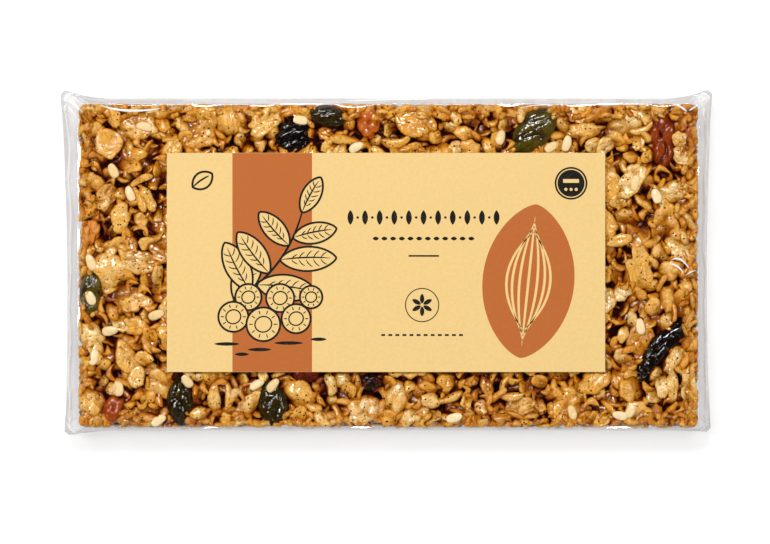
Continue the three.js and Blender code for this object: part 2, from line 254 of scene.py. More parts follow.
# How softly a piece that stands out is laid on the bar's surface.
PRESS_SOFTNESS = 0.16 * MM

# Rings and columns of a topping, how far down it is clear of the painted shade that darkens
# its lower part, and the dent that a sesame seed presses into it: how far round the seed and how
# deep.
TOPPING_GRID = (44, 72)
TOPPING_CLEAR = 0.4 * MM
SESAME_DENT = (1.9 * MM, 0.7 * MM)

# How far over the bar's surface a sesame seed is laid before it is pressed in.
SESAME_RISE = 0.1 * MM

# The bar's six faces: the axis that each looks along, which way, and the axes of its two sides.
FACES = {
    "face": (2, 1, 0, 1),
    "back": (2, -1, 0, 1),
    "far": (1, 1, 0, 2),
    "near": (1, -1, 0, 2),
    "right": (0, 1, 1, 2),
    "left": (0, -1, 1, 2),
}
GROUPS = {"face": ("face",), "sides": ("far", "near", "left", "right"), "back": ("back",)}

# What is thrown on a face, from the bottom up: the layer, the kind, the radius that a piece keeps
# clear, the share of it that counts, least and greatest depth, and tries on a square millimetre.
LAYERS = (
    ("deep", "oat_splinters", 1.8, 0.75, (1.6, 2.6), 0.15),
    ("deep", "rice_crisps", 1.25, 0.75, (1.7, 2.8), 1.2),
    ("middle", "broken_oats", 2.0, 0.75, (0.8, 1.8), 0.3),
    ("middle", "oat_splinters", 1.7, 0.7, (0.7, 1.6), 0.2),
    ("middle", "rice_crisps", 1.1, 0.75, (0.7, 1.7), 1.2),
    ("top", "oat_flakes", 3.3, 0.8, (0.0, 0.6), 0.036),
    ("top", "broken_oats", 1.9, 0.64, (0.0, 0.9), 0.4),
    ("top", "oat_splinters", 1.5, 0.7, (0.0, 0.9), 0.12),
    ("top", "rice_crisps", 0.9, 0.75, (0.0, 1.1), 3.4),
)

# The label's paper stays this far under the label's top, which leaves room for the print, and its
# edge is cut with this bevel.
PRINT_ROOM = 0.075 * MM
PAPER_BEVEL = 0.03 * MM

# The print: the layer that each kind of mark lies in, the widths of outlines, midribs, veins and
# hairlines, and where the band lies and how wide it is.
FIELD, MARK, PALE, LEAF, ROUND = 1.0, 2.0, 3.0, 4, 13
OUTLINE, MIDRIB, VEIN, HAIRLINE = 0.44, 0.34, 0.24, 0.22
BAND_X, BAND_WIDTH = -24.3, 17.0

# The middle column: rows of ornaments, each with its first and last x, how many, y, and an
# ornament's length, width, turn and point; a short rule; and a row of dashes, with its first and
# last x, how many, y and half a dash.
ORNAMENT_ROWS = (
    (-7.6, 23.6, 11, 9.6, 3.1, 1.25, 90, 0.6),
    (-6.04, 22.04, 10, 9.6, 0.55, 0.55, 0, 0.0),
    (-2.2, 18.2, 12, 5.1, 1.3, 0.8, 0, 0.6),
)
RULE = ((4.8, 1.4), (11.3, 1.4))
DASHES = (-0.6, 16.0, 12, -15.5, 0.42)

# The sprig's leaves: where on the stem, turn, length and width. Its rounds: x, y and size. The
# dabs of shade under them: x, y and length.
SPRIG_LEAVES = (
    (0.06, 66, 12.5, 5.6),
    (0.2, 118, 11.5, 5.2),
    (0.26, -6, 12.5, 5.6),
    (0.42, 128, 11.0, 5.0),
    (0.5, 2, 12.0, 5.2),
    (0.66, 132, 9.5, 4.4),
    (0.74, 12, 9.5, 4.4),
    (0.92, 62, 8.5, 4.0),
)
SPRIG_ROUNDS = (
    (-29.4, -7.4, 5.6),
    (-16.0, -7.4, 4.8),
    (-22.6, -7.6, 6.0),
    (-32.6, -11.6, 6.4),
    (-19.2, -12.0, 6.2),
    (-26.2, -13.2, 7.2),
)
SHADE_DABS = (
    (-34.0, -17.4, 5.4),
    (-27.0, -18.6, 5.0),
    (-20.8, -17.2, 6.2),
    (-14.4, -16.4, 3.4),
    (-30.8, -19.6, 3.0),
)

# Lamps: place, width and height in metres, power in watts, and whether shiny surfaces mirror it.
# The softboxes only light. Each strip stands 2 cm in front of its softbox, never in its plane,
# and gives the small sharp glints on syrup and film.
LAMPS = {
    "overhead": ((0.0, 0.1, 1.7), 0.7, 0.7, 8.0, False),
    "far_softbox": ((-0.04, 0.27, 0.76), 0.38, 0.2, 1.6, False),
    "far_strip": ((-0.04, 0.263, 0.74), 0.32, 0.13, 5.6, True),
    "left_softbox": ((-0.34, 0.03, 0.74), 0.2, 0.22, 0.6, False),
    "left_strip": ((-0.33, 0.03, 0.72), 0.1, 0.17, 2.4, True),
    "right_strip": ((0.36, 0.08, 0.74), 0.08, 0.12, 1.2, True),
}

# The floor's half side and its gap under the pack, the camera's sensor in millimetres, and where
# the camera stands beside the pack's middle.
FLOOR_REACH = 2.0
FLOOR_GAP = 0.1 * MM
SENSOR = 36.0
CAMERA_ASIDE = (-0.32 * MM, -2.04 * MM)

# The faces of a mesh that has none of one kind.
NO_QUADS, NO_TRIANGLES = np.zeros((0, 4), int), np.zeros((0, 3), int)


# ---- Settings -----------------------------------------------------------------------------------


class BarSettings(bpy.types.PropertyGroup):
    """The pressed bar inside the film."""

    length: FloatProperty(
        name="Length", description="Length of the bar", default=133 * MM, unit="LENGTH"
    )
    width: FloatProperty(
        name="Width", description="Width of the bar", default=69.6 * MM, unit="LENGTH"
    )
    top: FloatProperty(
        name="Top",
        description="Height of the plane that the flakes are pressed to",
        default=15.3 * MM,
        unit="LENGTH",
    )
    offset: FloatVectorProperty(
        name="Offset",
        description="Where the bar's middle lies in the pack",
        size=2,
        default=(0.4 * MM, -0.7 * MM),
        unit="LENGTH",
    )
    corner: FloatProperty(
        name="Corner", description="Radius of the upright edges", default=2.4 * MM, unit="LENGTH"
    )
    rim: FloatProperty(
        name="Rim", description="Radius of the level edges", default=1.0 * MM, unit="LENGTH"
    )
    seed: IntProperty(name="Seed", description="Another scatter of the same pieces", default=6)


class FilmSettings(bpy.types.PropertyGroup):
    """The clear film round the bar."""

    top: FloatProperty(
        name="Top",
        description="Height of the film over the face",
        default=15.42 * MM,
        unit="LENGTH",
    )
    crinkle: FloatProperty(
        name="Crinkle",
        description="Depth of the creases that fan out from the corners",
        default=0.62 * MM,
        unit="LENGTH",
    )
    tint: StringProperty(
        name="Tint", description="What a slanting layer of film lets through", default="#e1e1e2"
    )


class LabelSettings(bpy.types.PropertyGroup):
    """The paper label and its print."""

    paper: StringProperty(name="Paper", description="Colour of the paper", default="#d9b97a")
    rust: StringProperty(name="Rust ink", description="Colour of the band", default="#ac5e29")
    black: StringProperty(name="Dark ink", description="Colour of the lines", default="#0d0b09")
    ink_step: FloatProperty(
        name="Ink step",
        description="How far one layer of print stands over the next",
        default=0.004 * MM,
        unit="LENGTH",
    )


class StudioSettings(bpy.types.PropertyGroup):
    """The floor, the lamps and the camera."""

    lens: FloatProperty(name="Lens", description="Focal length in millimetres", default=250.0)
    frame_width: FloatProperty(
        name="Frame width",
        description="Width of the view at the height of the film's fold",
        default=165.6 * MM,
        unit="LENGTH",
    )
    power: FloatProperty(name="Power", description="Power of all the lamps", default=0.63)
    floor: StringProperty(name="Floor", description="Colour of the floor", default="#acacac")


# ---- Small helpers ------------------------------------------------------------------------------


def linear(hex_colour):
    """A colour socket's value for an sRGB hex colour.

    Each channel c becomes c / 12.92 near black, and above that a power of 2.4.
    """
    srgb = np.array([int(hex_colour[i : i + 2], 16) for i in (1, 3, 5)]) / 255
    value = np.where(srgb <= 0.04045, srgb / 12.92, ((srgb + 0.055) / 1.055) ** 2.4)
    return (*value.tolist(), 1.0)


def add_node(tree, kind, inputs=None, stops=None, **settings):
    """Adds a node to a tree with its settings, colour stops, and set or linked inputs."""
    node = tree.nodes.new(kind)
    for name, value in settings.items():
        setattr(node, name, value)
    for name, value in (inputs or {}).items():
        if isinstance(value, bpy.types.NodeSocket):
            tree.links.new(value, node.inputs[name])
        else:
            node.inputs[name].default_value = value
    if stops:
        ramp = node.color_ramp
        while len(ramp.elements) < len(stops):
            ramp.elements.new(0.5)
        for element, (position, colour) in zip(ramp.elements, stops):
            element.position = position
            element.color = linear(colour)
    return node


def new_material(name):
    """An empty material and its node tree, with only the output node in it."""
    material = bpy.data.materials.new(name)
    material.use_nodes = True
    material.node_tree.nodes.clear()
    return material, material.node_tree


def finish_material(tree, shader):
    """Gives a tree's shader to its output node."""
    add_node(tree, "ShaderNodeOutputMaterial", {"Surface": shader})


def random_sizes(rng, limits, count):
    """Lengths, widths and heights in metres, drawn between the limits of a kind."""
    return [rng.uniform(low, high, count) * MM for low, high in limits]


def closed_points(grid):
    """A grid (..., rows, columns, values) as one list, its first and last rows drawn to poles."""
    poles = grid[..., [0, -1], :, :].mean(-2)
    rings, columns, values = grid.shape[-3] - 2, grid.shape[-2], grid.shape[-1]
    rows = grid[..., 1:-1, :, :].reshape(*grid.shape[:-3], rings * columns, values)
    return np.concatenate([poles[..., :1, :], rows, poles[..., 1:, :]], -2)


def closed_grid(rings, columns):
    """Faces of a closed surface of a first pole, rings of points and a last pole.

    Each ring runs anticlockwise seen from the last pole. Quads join one ring to the next, and a
    fan of triangles closes each pole.
    """
    first = 1 + np.arange(rings - 1)[:, None] * columns
    column = np.arange(columns)
    after = (column + 1) % columns
    a, b = first + column, first + after
    quads = np.stack([a, b, b + columns, a + columns], -1).reshape(-1, 4)
    last = 1 + rings * columns
    fan_low = np.stack([0 * column, 1 + after, 1 + column], -1)
    fan_high = np.stack([0 * column + last, last - columns + column, last - columns + after], -1)
    return quads, np.concatenate([fan_low, fan_high])


def add_piece(name, points, quads, triangles, material, slot, values=None, flat=False):
    """A mesh object at the origin from arrays of points and faces, riding on the bar.

    values holds one number per point for each named attribute.
    """
    mesh = bpy.data.meshes.new(name)
    mesh.vertices.add(len(points))
    mesh.vertices.foreach_set("co", np.ascontiguousarray(points, np.float32).ravel())
    corners = np.concatenate([quads.ravel(), triangles.ravel()]).astype(np.int32)
    mesh.loops.add(len(corners))
    mesh.loops.foreach_set("vertex_index", corners)
    sizes = np.concatenate([np.full(len(quads), 4), np.full(len(triangles), 3)])
    mesh.polygons.add(len(sizes))
    mesh.polygons.foreach_set("loop_start", (np.cumsum(sizes) - sizes).astype(np.int32))
    mesh.polygons.foreach_set("use_smooth", np.full(len(sizes), not flat))
    mesh.update(calc_edges=True)
    for attribute, numbers in (values or {}).items():
        layer = mesh.attributes.new(attribute, "FLOAT", "POINT")
        layer.data.foreach_set("value", np.ascontiguousarray(numbers, np.float32).ravel())
    mesh.materials.append(material)
    piece = bpy.data.objects.new(name, mesh)
    bpy.context.scene.collection.objects.link(piece)
    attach(piece, BODY)
    return piece


def turned(yaw, roll, pitch):
    """Rotation matrices, one per entry: a pitch about Y, a roll about X, then a yaw about Z."""
    cy, sy, cr, sr, cp, sp = (f(a) for a in (yaw, roll, pitch) for f in (np.cos, np.sin))
    zero, one = np.zeros_like(cy), np.ones_like(cy)
    about_z = np.stack([cy, -sy, zero, sy, cy, zero, zero, zero, one], -1).reshape(-1, 3, 3)
    about_x = np.stack([one, zero, zero, zero, cr, -sr, zero, sr, cr], -1).reshape(-1, 3, 3)
    about_y = np.stack([cp, zero, sp, zero, one, zero, -sp, zero, cp], -1).reshape(-1, 3, 3)
    return about_z @ about_x @ about_y


def waves(rng, points, spacing, count=6):
    """Smooth noise from -1 to 1 or so: the mean of sines along random directions of a spacing."""
    directions = rng.normal(size=(count, 3))
    directions /= np.linalg.norm(directions, axis=1, keepdims=True)
    rates = 2 * np.pi / (spacing * rng.uniform(0.7, 1.4, count))
    phases = rng.uniform(0, 2 * np.pi, count)
    angles = points @ (directions * rates[:, None]).T + phases
    return np.sin(angles).sum(-1) / np.sqrt(count)


# ---- The scattered pieces' shapes ---------------------------------------------------------------


def flake_shapes(rng, sizes, rings, columns):
    """Oat flakes about the origin, lying level, as x, y, z, how raised a point is and where it is
    across the grain, in millimetres.

    A ring's radius r is a share of an oval whose rim wanders by eight cosines of the azimuth and
    has one broken notch. The height is sqrt(1 - r ** 4), laid on a middle surface: a dome, a
    saddle, a lip round the rim, a wandering crease along the length, three to five folds
    exp(-|sin|) that fan out from the middle, and lobes |sin| along slanting lines.
    """
    length, width, thickness = (size[:, None, None] / 2 for size in sizes)
    count = len(length)

    def draw(low, high):
        return rng.uniform(low, high, (count, 1, 1))

    side = 2 * np.linspace(0, 1, rings + 2)[:, None] ** 0.6 - 1
    azimuth = np.arange(columns) / columns * 2 * np.pi
    rim = 1 + 0 * azimuth[None, None]
    for wave in range(2, 10):
        rim = rim + draw(0.25, 1) * 0.15 / wave**0.6 * np.cos(wave * azimuth + draw(0, 2 * np.pi))
    notch = np.cos(azimuth + draw(0, 2 * np.pi)) - 1
    rim = rim - draw(0, 0.3) * np.exp(notch / 0.05)
    out = 1 - np.abs(side) ** 1.3
    radius = out * rim
    x = radius * np.cos(azimuth) * length
    y = radius * np.sin(azimuth) * width
    u, v = x / length, y / width

    upper = np.sign(side) * np.sqrt(1 - out**4)
    z = upper * thickness + draw(-0.2, 0.6) * MM * (1 - out**2)
    z = z + rng.normal(0, 0.45, (count, 1, 1)) * MM * u**2
    z = z + rng.normal(0, 0.4, (count, 1, 1)) * MM * v**2
    z = z + draw(0, 0.3) * MM * np.exp(-(((out - 0.86) / 0.1) ** 2))
    path = 0.22 * np.sin(2.4 * u + draw(0, 2 * np.pi))
    crease = np.exp(-np.abs(v - path) / 0.1) * np.exp(-((u * draw(0.6, 1.2)) ** 4))
    swirl = azimuth + 0.5 * np.sin(2.5 * out + draw(0, 2 * np.pi))
    folds = rng.integers(3, 6, (count, 1, 1))
    fan = np.exp(-np.abs(np.sin(folds / 2 * swirl + draw(0, np.pi))) / 0.16)
    fan = fan * out * (1.15 - out) * 3.5
    crease_depth, fan_depth = draw(-0.1, 0.45), draw(-0.2, 0.5)
    z = z - crease_depth * MM * crease - fan_depth * MM * fan
    raised = 0.3 + 0.5 * np.clip(upper, -1, 1)
    raised = raised - 0.45 * crease_depth * crease - 0.5 * fan_depth * fan
    for spacing, height in ((3.6, 0.22), (2.0, 0.14)):
        angle = draw(0, np.pi)
        rate = np.pi / (spacing * MM * draw(0.75, 1.3))
        along = (x * np.cos(angle) + y * np.sin(angle)) * rate
        bend = 0.8 * np.sin((y * np.cos(angle) - x * np.sin(angle)) * rate * 0.6)
        lobes = np.abs(np.sin(along + bend + draw(0, np.pi))) - 0.62
        z = z + lobes * height * draw(0.5, 1.4) * MM
        raised = raised + lobes * 0.25
    across = y / MM * (1 + 0.45 * u)
    return closed_points(np.stack(np.broadcast_arrays(x, y, z, raised, across), -1))


def grain_shapes(rng, sizes, rings, columns, bend=0.6, knobs=0.12, taper=0.0):
    """Crisps, splinters or seeds about the origin, with their length along X, as x, y, z, how
    raised each point is and where it is across the grain, in millimetres.

    A ring's radius is sin(polar angle) ** 0.7, thicker and thinner by a cosine along the grain and
    thinner towards one end by a taper, with a dent along one side, and the whole is bowed by the
    square of the distance from its middle.
    """
    length, width, height = (size[:, None, None] / 2 for size in sizes)
    count = len(length)

    def draw(low, high):
        return rng.uniform(low, high, (count, 1, 1))

    polar = np.linspace(0, np.pi, rings + 2)[:, None]
    azimuth = np.arange(columns) / columns * 2 * np.pi
    waist = np.cos(draw(2, 5) * polar + draw(0, 2 * np.pi))
    dent = np.exp((np.cos(azimuth - draw(0.6, 2.5)) - 1) / 0.08)
    round_part = np.sin(polar) ** 0.7 * (1 + taper * np.cos(polar))
    radius = round_part * (1 + knobs * waist - 1.6 * knobs * dent)
    x = -np.cos(polar) * length + 0 * azimuth
    bow = draw(-bend, bend) * width
    y = radius * np.cos(azimuth) * width + bow * (2 * (x / length) ** 2 - 1)
    z = radius * np.sin(azimuth) * height
    raised = 0.25 + 0.6 * round_part * np.sin(azimuth) + 0.2 * waist - 0.3 * dent
    return closed_points(np.stack(np.broadcast_arrays(x, y, z, raised, y / MM), -1))


def bent_crisp_shapes(rng, sizes, rings, columns):
    """Rice crisps: grains that are bowed by up to their own width."""
    return grain_shapes(rng, sizes, rings, columns, bend=1.3, knobs=0.16)


# ---- Where the pieces lie -----------------------------------------------------------------------


def bar_charts(bar):
    """The bar's faces, each as its middle, its two directions and its outward one, and its size.

    The first direction is turned round where the three would be left-handed.
    """
    middle = np.array([*bar.offset, bar.top / 2])
    half = np.array([bar.length, bar.width, bar.top]) / 2
    axes = np.eye(3)
    charts = {}
    for name, (out, sign, first, second) in FACES.items():
        along, across, outward = axes[first], axes[second], sign * axes[out]
        if np.dot(np.cross(along, across), outward) < 0:
            along = -along
        charts[name] = {
            "middle": middle + outward * half[out],
            "turn": np.stack([along, across, outward]),
            "size": 2 * half[[first, second]],
        }
    return charts


def throw(rng, taken, size, radius, tries, allowed=None, overlap=1.0):
    """Random places in a rectangle about 0, each a radius clear of all places taken before.

    taken is a list of (u, v, radius) that grows. overlap under 1 lets places run into each other.
    """
    spots = rng.uniform(-0.5, 0.5, (tries, 2)) * (np.asarray(size) - radius)
    placed = np.array(taken, float).reshape(-1, 3)
    found = []
    for spot in spots:
        if allowed is not None and not allowed(spot):
            continue
        gaps = np.hypot(*(placed[:, :2] - spot).T) - overlap * (placed[:, 2] + radius)
        if len(gaps) and gaps.min() < 0:
            continue
        placed = np.vstack([placed, [*spot, radius]])
        found.append(spot)
    taken[:] = placed.tolist()
    return np.array(found).reshape(-1, 2)


def lay(rng, shapes, spots, depths, chart, tilt, yaw=None):
    """Pieces set down on a face, each with its highest point a depth under it.

    A piece is turned by its yaw and tilted a little. Where none is given, the yaw follows a slow
    random wave over the face, so that neighbours lie alike. What would stand over the face's edge
    is moved in.
    """
    if yaw is None:
        drift = waves(rng, np.c_[spots, 0 * spots[:, 0]], GRAIN_DRIFT)
        yaw = np.pi * drift + rng.normal(0, 0.8, len(spots))
    roll, pitch = rng.normal(0, tilt, (2, len(spots)))
    points = shapes[..., :3] @ turned(yaw, roll, pitch).transpose(0, 2, 1)
    points[..., 2] += (-depths - points[..., 2].max(1))[:, None]
    points[..., :2] += spots[:, None]
    limit = chart["size"] / 2
    over = np.maximum(points[..., :2].max(1) - limit, 0)
    under = np.minimum(points[..., :2].min(1) + limit, 0)
    points[..., :2] -= (over + under)[:, None]
    points = chart["middle"] + points @ chart["turn"]
    return np.concatenate([points, shapes[..., 3:]], -1)


def press(points, bar):
    """Presses points into the bar's rounded block and says how deep each lies under its surface.

    The distance s to the block becomes -softness * log(1 + exp(-s / softness)), which leaves what
    is deep alone and lays what stands out on the surface. The upright edges come first, seen from
    above, and then the level ones.
    """
    centre = np.array([*bar.offset, bar.top / 2])
    half = np.array([bar.length, bar.width, bar.top]) / 2
    for radius, axes in ((bar.corner, np.array([0, 1])), (bar.rim, np.array([0, 1, 2]))):
        offset = points[..., axes] - centre[axes]
        past = np.abs(offset) - (half[axes] - radius)
        outside = np.maximum(past, 0)
        reach = np.linalg.norm(outside, axis=-1)
        distance = reach + np.minimum(past.max(-1), 0) - radius
        wanted = -PRESS_SOFTNESS * np.logaddexp(0, -distance / PRESS_SOFTNESS)
        shift = np.where(reach > 0, (wanted - distance) / np.maximum(reach, 1e-9), 0)
        points = points.copy()
        points[..., axes] += np.sign(offset) * outside * shift[..., None]
    return points, -wanted


def scatter_piece(name, bar, batches, tones, grid, material):
    """One mesh of many closed pieces, with every point's tone, depth, raised and across values."""
    shapes = np.concatenate(batches)
    points, depths = press(shapes[..., :3], bar)
    count, each = points.shape[:2]
    quads, triangles = closed_grid(*grid)
    offsets = each * np.arange(count)[:, None, None]
    values = {
        "tone": np.repeat(np.concatenate(tones), each),
        "depth": depths.ravel() / MM,
        "raised": shapes[..., 3].ravel(),
        "across": shapes[..., 4].ravel(),
    }
    return add_piece(
        name,
        points.reshape(-1, 3),
        (quads[None] + offsets).reshape(-1, 4),
        (triangles[None] + offsets).reshape(-1, 3),
        material,
        "granola",
        values,
    )


# ---- Materials ----------------------------------------------------------------------------------


def syrup_glazed(
    name,
    stops,
    syrup=1.0,
    least=0.0,
    speckle=0.5,
    wrinkle=(1.3, 0.1),
    fibre=0.012,
    coat=1.0,
    scatter=0.35,
):
    """A food surface under boiled syrup: clear, hard and uneven.

    The eye gets a body colour that wanders over each piece and from piece to piece, paler on top
    as painted light, seen through syrup: amber in patches and along fine lines. Painted shade, in
    the same syrup colours, is amber in creases, round the foot and on the flanks, red brown in the
    nooks between pieces and near black deep in the gaps. On it are black specks of husk in
    clusters, and sharp glints on level patches that narrow grooves part.

    stops are the body's colours from dark to pale. syrup scales how thick it lies, painted shade
    included, and least is added to it all over. speckle is the share of specks, wrinkle the
    grooves' spacing and depth and fibre the depth of fine ridges along the piece, in millimetres.
    coat is how much the syrup shines and scatter how much light goes in under the surface.
    """
    spacing, groove = wrinkle
    material, tree = new_material(name)
    math = "ShaderNodeMath"
    place = add_node(tree, "ShaderNodeTexCoord").outputs["Object"]
    tone, depth, raised, across, nook = (
        add_node(tree, "ShaderNodeAttribute", attribute_name=key).outputs["Fac"]
        for key in ("tone", "depth", "raised", "across", "nook")
    )

    # Patches of 2.8 mm, folds of the grooves' spacing, and a grain of 0.7 mm.
    blotch, folds, grain = (
        add_node(
            tree,
            "ShaderNodeTexNoise",
            {
                "Vector": place,
                "Scale": 1 / (size * MM),
                "Detail": detail,
                "Roughness": 0.6,
                "Distortion": bent,
            },
        ).outputs["Fac"]
        for size, detail, bent in ((2.8, 4.0, 0.0), (spacing, 0.0, 0.9), (0.7, 0.0, 0.5))
    )

    # The body's colour goes by the patches, the piece's own tone and how raised a point is; it is
    # paler on top, which is painted light.
    inputs = {0: raised, 1: 0.5, 2: tone}
    tone_and_top_light = add_node(tree, math, inputs, operation="MULTIPLY_ADD").outputs[0]
    wander = add_node(tree, math, {0: blotch, 1: tone_and_top_light}, operation="ADD").outputs[0]
    inputs = {"Value": wander, "From Min": 0.6, "From Max": 2.1}
    shade = add_node(tree, "ShaderNodeMapRange", inputs).outputs[0]
    body = add_node(tree, "ShaderNodeValToRGB", {"Fac": shade}, stops=stops).outputs["Color"]

    # A groove runs where the folds cross their middle value. Fine ridges 0.8 mm apart are |sin| of
    # the place across the piece, bent by the folds.
    off_fold = add_node(tree, math, {0: folds, 1: 0.5}, operation="SUBTRACT").outputs[0]
    valley = add_node(tree, math, {0: off_fold}, operation="ABSOLUTE").outputs[0]
    bent = add_node(tree, math, {0: folds, 1: 9.0}, operation="MULTIPLY").outputs[0]
    inputs = {0: across, 1: np.pi / 0.8, 2: bent}
    phase = add_node(tree, math, inputs, operation="MULTIPLY_ADD").outputs[0]
    swing = add_node(tree, math, {0: phase}, operation="SINE").outputs[0]
    ridges = add_node(tree, math, {0: swing}, operation="ABSOLUTE").outputs[0]

    # The syrup's thickness is a sum of smooth steps. Each goes from none at the first value to the
    # most at the second: in patches and fine ridges, as the syrup's own colour, and as painted shade
    # low on a piece, in its grooves, under the bar's surface and in the nooks.
    thickness = least
    for value, none, full, most in (
        (blotch, 0.5, 0.75, 0.08),
        (raised, 0.6, -0.05, 0.07),
        (valley, 0.035, 0.0, 0.08),
        (ridges, 0.4, 0.0, 7 * fibre),
        (depth, 0.6, 1.8, 0.14),
        (depth, 1.2, 2.8, 0.45),
        (nook, 0.1, 1.0, 0.13),
        (nook, 0.8, 1.8, 0.45),
    ):
        inputs = {"Value": value, "From Min": none, "From Max": full, "To Max": most * syrup}
        kind = "ShaderNodeMapRange"
        layer = add_node(tree, kind, inputs, interpolation_type="SMOOTHSTEP").outputs[0]
        thickness = add_node(tree, math, {0: thickness, 1: layer}, operation="ADD").outputs[0]
    passed = add_node(tree, "ShaderNodeValToRGB", {"Fac": thickness}, stops=SYRUP).outputs["Color"]
    mix = {"data_type": "RGBA", "blend_type": "MULTIPLY"}
    glazed = add_node(tree, "ShaderNodeMix", {0: 1.0, 6: body, 7: passed}, **mix).outputs[2]

    # Husk specks are the middles of 0.95 mm cells, of which the patches choose a share.
    inputs = {"Vector": place, "Scale": 1 / (0.95 * MM), "Randomness": 1.0}
    husks = add_node(tree, "ShaderNodeTexVoronoi", inputs).outputs
    inputs = {0: husks["Distance"], 1: 0.2}
    small = add_node(tree, math, inputs, operation="LESS_THAN").outputs[0]
    share = add_node(tree, math, {0: blotch, 1: 1.5 * speckle}, operation="MULTIPLY").outputs[0]
    inputs = {0: husks["Color"], 1: share}
    chosen = add_node(tree, math, inputs, operation="LESS_THAN").outputs[0]
    speck = add_node(tree, math, {0: small, 1: chosen}, operation="MULTIPLY").outputs[0]
    inputs = {0: speck, 6: glazed, 7: linear("#0c0502")}
    final = add_node(tree, "ShaderNodeMix", inputs, data_type="RGBA").outputs[2]

    # The relief is level patches with narrow grooves, the fine ridges and half of the grain.
    inputs = {"Value": valley, "From Max": 0.05}
    kind = "ShaderNodeMapRange"
    level = add_node(tree, kind, inputs, interpolation_type="SMOOTHSTEP").outputs[0]
    inputs = {0: ridges, 1: fibre / groove, 2: level}
    ridged = add_node(tree, math, inputs, operation="MULTIPLY_ADD").outputs[0]
    inputs = {0: grain, 1: 0.5, 2: ridged}
    uneven = add_node(tree, math, inputs, operation="MULTIPLY_ADD").outputs[0]
    inputs = {"Height": uneven, "Distance": groove * MM, "Strength": 1.0}
    relief = add_node(tree, "ShaderNodeBump", inputs).outputs["Normal"]

    # What lies deep in syrup gets no light to shine with, so its coat fades.
    inputs = {"Value": thickness, "From Min": 0.4, "From Max": 0.9, "To Min": coat, "To Max": 0.05}
    glaze = add_node(tree, "ShaderNodeMapRange", inputs).outputs[0]
    inputs = {
        "Base Color": final,
        "Roughness": 0.5,
        "IOR": 1.45,
        "Specular IOR Level": 0.0,
        "Subsurface Weight": scatter,
        "Subsurface Radius": (1.0, 0.5, 0.18),
        "Subsurface Scale": 0.5 * MM,
        "Coat Weight": glaze,
        "Coat Roughness": 0.04,
        "Coat IOR": 1.6,
        "Normal": relief,
        "Coat Normal": relief,
    }
    finish_material(tree, add_node(tree, "ShaderNodeBsdfPrincipled", inputs).outputs["BSDF"])
    return material


def clear_film(tint):
    """Clear polypropylene film, cast and shrunk tight.

    The eye gets the food through it almost unchanged, a sheen where it is seen at a slant, and
    white lines where it is creased, which are painted highlights. tint is what a slanting layer
    lets through.
    """
    material, tree = new_material("clear_polypropylene_film")
    math = "ShaderNodeMath"
    white = linear("#ffffff")
    place = add_node(tree, "ShaderNodeTexCoord").outputs["Object"]

    # Slack ripples 9 mm apart.
    inputs = {"Vector": place, "Scale": 1 / (9 * MM), "Detail": 0.0, "Roughness": 0.4}
    ripple = add_node(tree, "ShaderNodeTexNoise", inputs).outputs["Fac"]
    inputs = {"Height": ripple, "Distance": 0.1 * MM, "Strength": 0.5}
    relief = add_node(tree, "ShaderNodeBump", inputs).outputs["Normal"]
    slant = add_node(tree, "ShaderNodeLayerWeight", {"Blend": 0.5, "Normal": relief})
    slant = slant.outputs["Facing"]
    stops = [(0.25, "#fdfdfd"), (0.65, tint), (0.9, "#cccbcb"), (1.0, "#8e8c8c")]
    passed = add_node(tree, "ShaderNodeValToRGB", {"Fac": slant}, stops=stops).outputs["Color"]
    through = add_node(tree, "ShaderNodeBsdfTransparent", {"Color": passed}).outputs[0]
    inputs = {"Color": white, "Roughness": 0.05, "Normal": relief}
    gloss = add_node(tree, "ShaderNodeBsdfGlossy", inputs).outputs[0]

    # It mirrors a twentieth of the light face on, and four fifths along its surface.
    steep = add_node(tree, math, {0: slant, 1: 4.0}, operation="POWER").outputs[0]
    inputs = {0: steep, 1: 0.75, 2: 0.05}
    mirror = add_node(tree, math, inputs, operation="MULTIPLY_ADD").outputs[0]
    clear = add_node(tree, "ShaderNodeMixShader", {"Fac": mirror, 1: through, 2: gloss}).outputs[0]

    # Painted highlight: where the crease attribute says, white matt diffuse replaces the film.
    crease = add_node(tree, "ShaderNodeAttribute", attribute_name="crease").outputs["Fac"]
    painted_highlight = add_node(tree, "ShaderNodeBsdfDiffuse", {"Color": white}).outputs[0]
    share = add_node(tree, math, {0: crease, 1: 0.8}, operation="MULTIPLY").outputs[0]
    inputs = {"Fac": share, 1: clear, 2: painted_highlight}
    finish_material(tree, add_node(tree, "ShaderNodeMixShader", inputs).outputs[0])
    return material


def fibre_mottle(tree):
    """The mottle of fibres in uncoated stock, as a socket.

    Fibres are a few hundredths of a millimetre wide, too fine to show, so the noise is 0.7 mm.
    """
    place = add_node(tree, "ShaderNodeTexCoord").outputs["Object"]
    inputs = {"Vector": place, "Scale": 1 / (0.7 * MM), "Detail": 4.0, "Roughness": 0.7}
    return add_node(tree, "ShaderNodeTexNoise", inputs).outputs["Fac"]


def kraft_paper(colour):
    """Uncoated label paper, machine made, with short fibres pressed in at random.

    The eye gets a matt sheet with faint darker threads and a soft mottle.
    """
    material, tree = new_material("uncoated_label_paper")
    mottle = fibre_mottle(tree)
    stops = [(0.3, "#d6b475"), (0.5, colour), (0.75, "#dcbd80")]
    base = add_node(tree, "ShaderNodeValToRGB", {"Fac": mottle}, stops=stops).outputs["Color"]
    inputs = {"Height": mottle, "Distance": 0.03 * MM, "Strength": 0.5}
    relief = add_node(tree, "ShaderNodeBump", inputs).outputs["Normal"]
    inputs = {"Base Color": base, "Roughness": 0.8, "Specular IOR Level": 0.25, "Normal": relief}
    finish_material(tree, add_node(tree, "ShaderNodeBsdfPrincipled", inputs).outputs["BSDF"])
    return material


